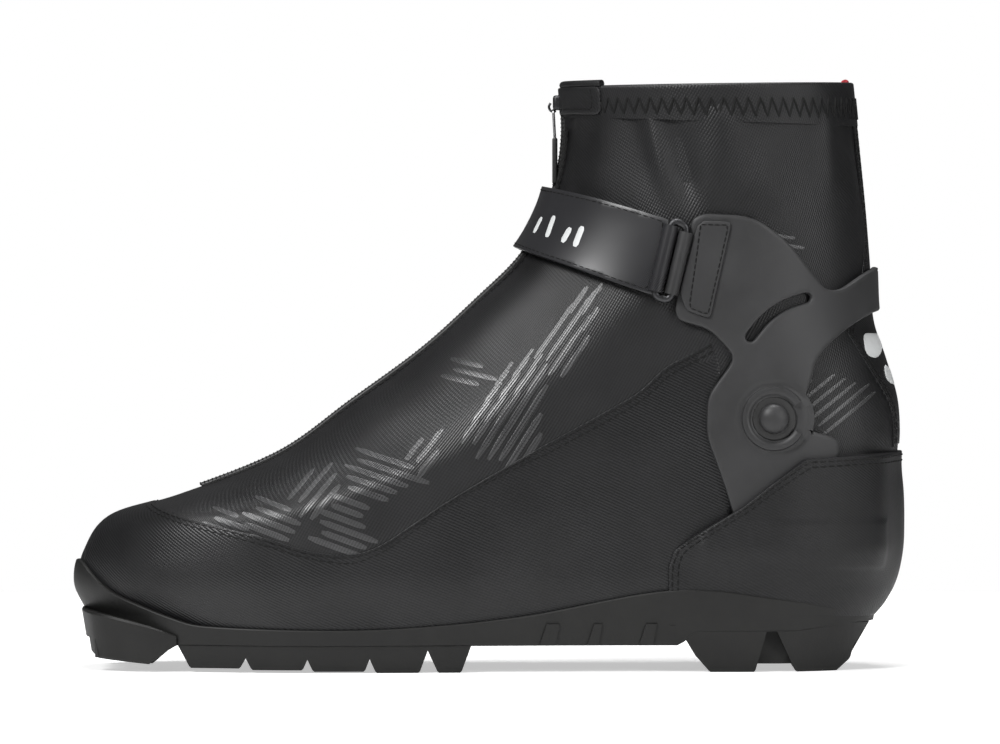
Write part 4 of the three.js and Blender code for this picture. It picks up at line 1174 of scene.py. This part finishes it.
def tread(name, profiles, bands, reach, bevel, replaces):
    """Lugs: profiles in side view, in bands between the grooves, trimmed to the sole's outline."""
    blocks = [(low, high, UNDER_FLOOR) for low, high in bands]
    blocks.append((bands[0][0], bands[-1][1], GROOVE_TOP))
    made = []
    for profile in profiles:
        if area(np.array(profile, float)) < 0:
            profile = profile[::-1]
        n = len(profile)
        for low, high, foot in blocks:
            vertices = [(x, y, max(z, foot)) for y in (low, high) for x, z in profile]
            faces = [tuple(range(n)), tuple(range(2 * n - 1, n - 1, -1))]
            faces += [(i, n + i, n + (i + 1) % n, (i + 1) % n) for i in range(n)]
            made.append((np.array(vertices), faces))
    obj = mesh_object(name, *join(made), rubber, 32)
    core = [wall(np.full(TURN_COUNT, h), reach) for h in (-2.0, 6.0, 12.0, 16.0, 19.0)]
    core_vertices, core_faces = closed_rings(core)
    carve(obj, mesh_object("core", core_vertices, core_faces, rubber), "INTERSECT")
    modifier = obj.modifiers.new("soft_edge", "BEVEL")
    modifier.width = bevel * MM
    modifier.segments = 2
    modifier.limit_method = "ANGLE"
    modifier.angle_limit = math.radians(38)
    return settle(obj, BODY_FOOT, replaces)


GROOVE = [(-60, -GROOVE_CENTRE - GROOVE_HALF), (-GROOVE_CENTRE + GROOVE_HALF, GROOVE_CENTRE - GROOVE_HALF),
          (GROOVE_CENTRE + GROOVE_HALF, 60)]
FOREFOOT_LUGS = [(-107.5, -88.9, 1.5), (-85.3, -66.5, 1.0), (-63.3, -44.4, 0.5), (-40.9, -24.9, 0.0),
                 (-18.8, -10.0, 0.0)]
lugs = [[(front - 4.2, 9.9), (front, foot + 0.6), (front + 0.7, foot), (rear - 0.7, foot), (rear, foot + 0.6),
         (rear + 3.4, 9.9)] for front, rear, foot in FOREFOOT_LUGS]
tread("forefoot_lugs", lugs, GROOVE, 1.5, 0.45, ["outsole_forefoot"])
HEEL_FRONT = [(68, 14.8), (73.4, 6), (78.2, 0.5), (78.9, 0), (94.3, 0), (94.9, 0.5), (99.0, 14.8)]
HEEL_REAR = [(102.6, 14.8), (109.2, 0.5), (109.9, 0), (124.4, 0), (129, 3.9), (136.6, 17.0),
             (127, 17.2), (110, 14.8)]
HEEL_WEB = [(90, 14.8), (92, 2.8), (112, 2.8), (114, 14.8)]
tread("heel_lugs", [HEEL_FRONT, HEEL_REAR], GROOVE, 1.9, 0.6, ["outsole_heel"])
tread("heel_web", [HEEL_WEB], [(-29, -18), (-9, 9), (18, 29)], -1.5, 0.4, [])
RIBS = [(17.8, 24.9), (34.8, 40.2), (53.3, 59.7)]
ribs = [[(front, 9.7), (rear - 1.5, 9.7), (rear, 17.4), (front + 2.5, 17.4)] for front, rear in RIBS]
tread("arch_ribs", ribs, [(-60, 60)], 2.9, 0.35, [])

# ---------------------------------------------------------------------------
# Prints, back strip, reflective shapes and the red loop
# ---------------------------------------------------------------------------


def hatch(origin, direction, lengths, spacing, width, offset=0.02, height=0.09):
    """Parallel stripes: each starts a spacing further along, on both sides of the boot."""
    made = []
    angle = math.radians(direction)
    ahead = np.array([math.cos(angle), math.sin(angle)])
    side = np.array([-ahead[1], ahead[0]])
    for i, length in enumerate(lengths):
        start = np.array(origin) + side * spacing * i + ahead * (2.2 * math.sin(2.1 * i))
        line = on_side(np.array([start + ahead * length * t for t in np.linspace(0, 1, 8)]))
        for path in (line, mirrored(line, 0)):
            turn, level = path.T
            lift = offset + creases(turn, level, skin(turn, level))
            made.append(ridge(turn, level, lift, width, height, 0.25, FLAT_TOP))
    return made


# Each group of stripes: where it starts in side view, its direction, lengths, spacing and width
VAMP_PRINTS = [((-99, 59), -18, [10, 13, 10], -3.2, 2.0),
               ((-84, 63), -20, [14, 17, 20, 17, 21, 14], -3.4, 2.1),
               ((-57, 64), -20, [15, 12, 18, 22, 17, 21], -3.4, 2.1),
               ((-72, 62), 50, [14, 18, 20, 16], -3.6, 2.1),
               ((-48, 80), -18, [22, 27, 24, 19, 15], -3.4, 2.1),
               ((-30, 76), 52, [10, 15, 12], -3.6, 2.1),
               ((-10, 82), 58, [34, 40, 44, 40, 32, 26, 18], -3.7, 2.2),
               ((-14, 112), -14, [12, 16, 14], -3.3, 2.0),
               ((16, 112), 55, [24, 30, 26, 18], -3.8, 2.0),
               ((28, 128), 55, [12, 14, 10], -3.8, 2.0)]
prints = [stripe for group in VAMP_PRINTS for stripe in hatch(*group)]
lines("vamp_print", prints, print_gloss)
shaft_print = hatch((102, 156), -8, [7, 9, 10, 8], -3.0, 1.3)
lines("shaft_print", shaft_print, print_gloss, BODY_CUFF)
quarter_print = hatch((118, 84), 38, [26, 24, 24, 20, 16, 12, 8], 3.6, 1.3)
lines("quarter_print", quarter_print, print_gloss)

BACK_STRIP = [(133.2, 200), (134.6, 175), (134.4, 150), (132, 135), (128, 122.3), (129.4, 118.7),
              (136.5, 107.4), (141, 100.3), (144.5, 92), (145, 80)]
strip_line = on_side(smooth(BACK_STRIP, 50))
strip_line[:, 0] = np.minimum(strip_line[:, 0], 0.468)
strip_loop = np.concatenate([strip_line, mirrored(strip_line, 0.5)])
back_strip = patch("back_strip", strip_loop, -0.6, 0.45, heel_twill, 0.3, 2.0)
settle(back_strip, None, ["back_strip_lower", "back_strip_upper"])
made = []
for path in (strip_line, mirrored(strip_line, 0.5)):
    for distance in (1.1, 2.9):
        made += stitch_row(beside(path, distance), 0.45)
lines("back_strip_stitches", made, thread)

# Plain reflective shapes: a larger and a smaller one on each side of the strip
REFLECTORS = {"reflector_upper": [(133.4, 121), (140.2, 120.5), (141.6, 116), (139, 111.5), (134.5, 113)],
              "reflector_lower": [(141.3, 110.2), (145.2, 106.5), (145.8, 101.5), (142, 104)]}
for name, outline in REFLECTORS.items():
    loop = on_side(resample(rounded([*outline, *outline[:2]], 2.2)[4:], 1.2))[:-1]
    for side, path in (("lateral", loop), ("medial", mirrored(loop, 0.5))):
        shape = patch(f"{name}_{side}", path, 0.1, 0.62, print_silver, 0.15, 1.5)
        settle(shape)

tab_edge = [(0.472, 0.955), (0.472, 0.999), (0.528, 0.999), (0.528, 0.955)]
tab_loop = rounded([*tab_edge, *tab_edge[:2]], 0.006)[4:-1]
tab = patch("red_loop", resample(tab_loop * PLANE, 2) / PLANE, -4.2, -2.1, red_fabric, 0.4, 2)
settle(tab, BODY_CUFF, ["heel_pull_tab"])
tab_roll = skin(np.linspace(0.474, 0.526, 12), np.full(12, 0.998), -2.0) + np.array([0, 0, 0.3])
vertices, faces = tube(tab_roll, 1.0, 12)
settle(mesh_object("red_loop_fold", vertices, faces, red_fabric), BODY_CUFF)

# ---------------------------------------------------------------------------
# Stage: floor, light and camera
# ---------------------------------------------------------------------------


def make_floor():
    n = Nodes("studio_floor", (0.8, 0.8, 0.8), 0.4)
    n.link(n.ramp(n.noise(3), 0.35, 0.45), n.shader.inputs["Roughness"])
    n.shader.inputs["Emission Color"].default_value = (1, 1, 1, 1)
    seen = n.add("ShaderNodeLightPath").outputs["Is Camera Ray"]
    n.link(n.ramp(seen, 0.2, 0.5, 0, 1), n.shader.inputs["Emission Strength"])
    reach = 0.65
    mesh = bpy.data.meshes.new("floor")
    edge = [(reach * math.cos(a), reach * math.sin(a), 0) for a in np.radians(np.arange(0, 360, 5))]
    mesh.from_pydata(edge, [], [tuple(range(len(edge)))])
    floor = bpy.data.objects.new("floor", mesh)
    bpy.context.collection.objects.link(floor)
    floor.data.materials.append(n.material)


def make_light(name, location, aim, size, power):
    data = bpy.data.lights.new(name, "AREA")
    data.shape = "RECTANGLE"
    data.size, data.size_y = size
    data.energy = power
    light = bpy.data.objects.new(name, data)
    light.location = location
    light.rotation_mode = "QUATERNION"
    light.rotation_quaternion = (Vector(aim) - Vector(location)).to_track_quat("-Z", "Y")
    bpy.context.collection.objects.link(light)


make_floor()
make_light("key", (-1.1, -1.5, 1.5), (0, 0, 0.1), (0.8, 0.8), 58)
make_light("fill", (1.5, -1.6, 0.7), (0, 0, 0.1), (0.4, 1.2), 20)
make_light("top", (0.1, -0.1, 1.7), (0, 0, 0.1), (0.9, 0.5), 32)

# The background is white to look at, and dim as a light
world = bpy.data.worlds.new("studio")
world.use_nodes = True
world_nodes, world_links = world.node_tree.nodes, world.node_tree.links
dim = world_nodes["Background"]
dim.inputs["Color"].default_value = (1, 1, 1, 1)
dim.inputs["Strength"].default_value = 0.09
white = world_nodes.new("ShaderNodeBackground")
white.inputs["Color"].default_value = (1, 1, 1, 1)
white.inputs["Strength"].default_value = 1.0
seen = world_nodes.new("ShaderNodeLightPath")
mixed = world_nodes.new("ShaderNodeMixShader")
world_links.new(seen.outputs["Is Camera Ray"], mixed.inputs[0])
world_links.new(dim.outputs[0], mixed.inputs[1])
world_links.new(white.outputs[0], mixed.inputs[2])
world_links.new(mixed.outputs[0], world_nodes["World Output"].inputs["Surface"])
bpy.context.scene.world = world

camera_data = bpy.data.cameras.new("camera")
camera_data.sensor_width = 36
camera_data.lens = 303
camera = bpy.data.objects.new("camera", camera_data)
camera.location = (0.0036, -3.04, 0.16)
camera.rotation_mode = "QUATERNION"
camera.rotation_quaternion = (Vector((0.0036, -0.04, 0.1074)) - camera.location).to_track_quat("-Z", "Y")
bpy.context.collection.objects.link(camera)
bpy.context.scene.camera = camera
bpy.context.scene.view_settings.view_transform = "Standard"
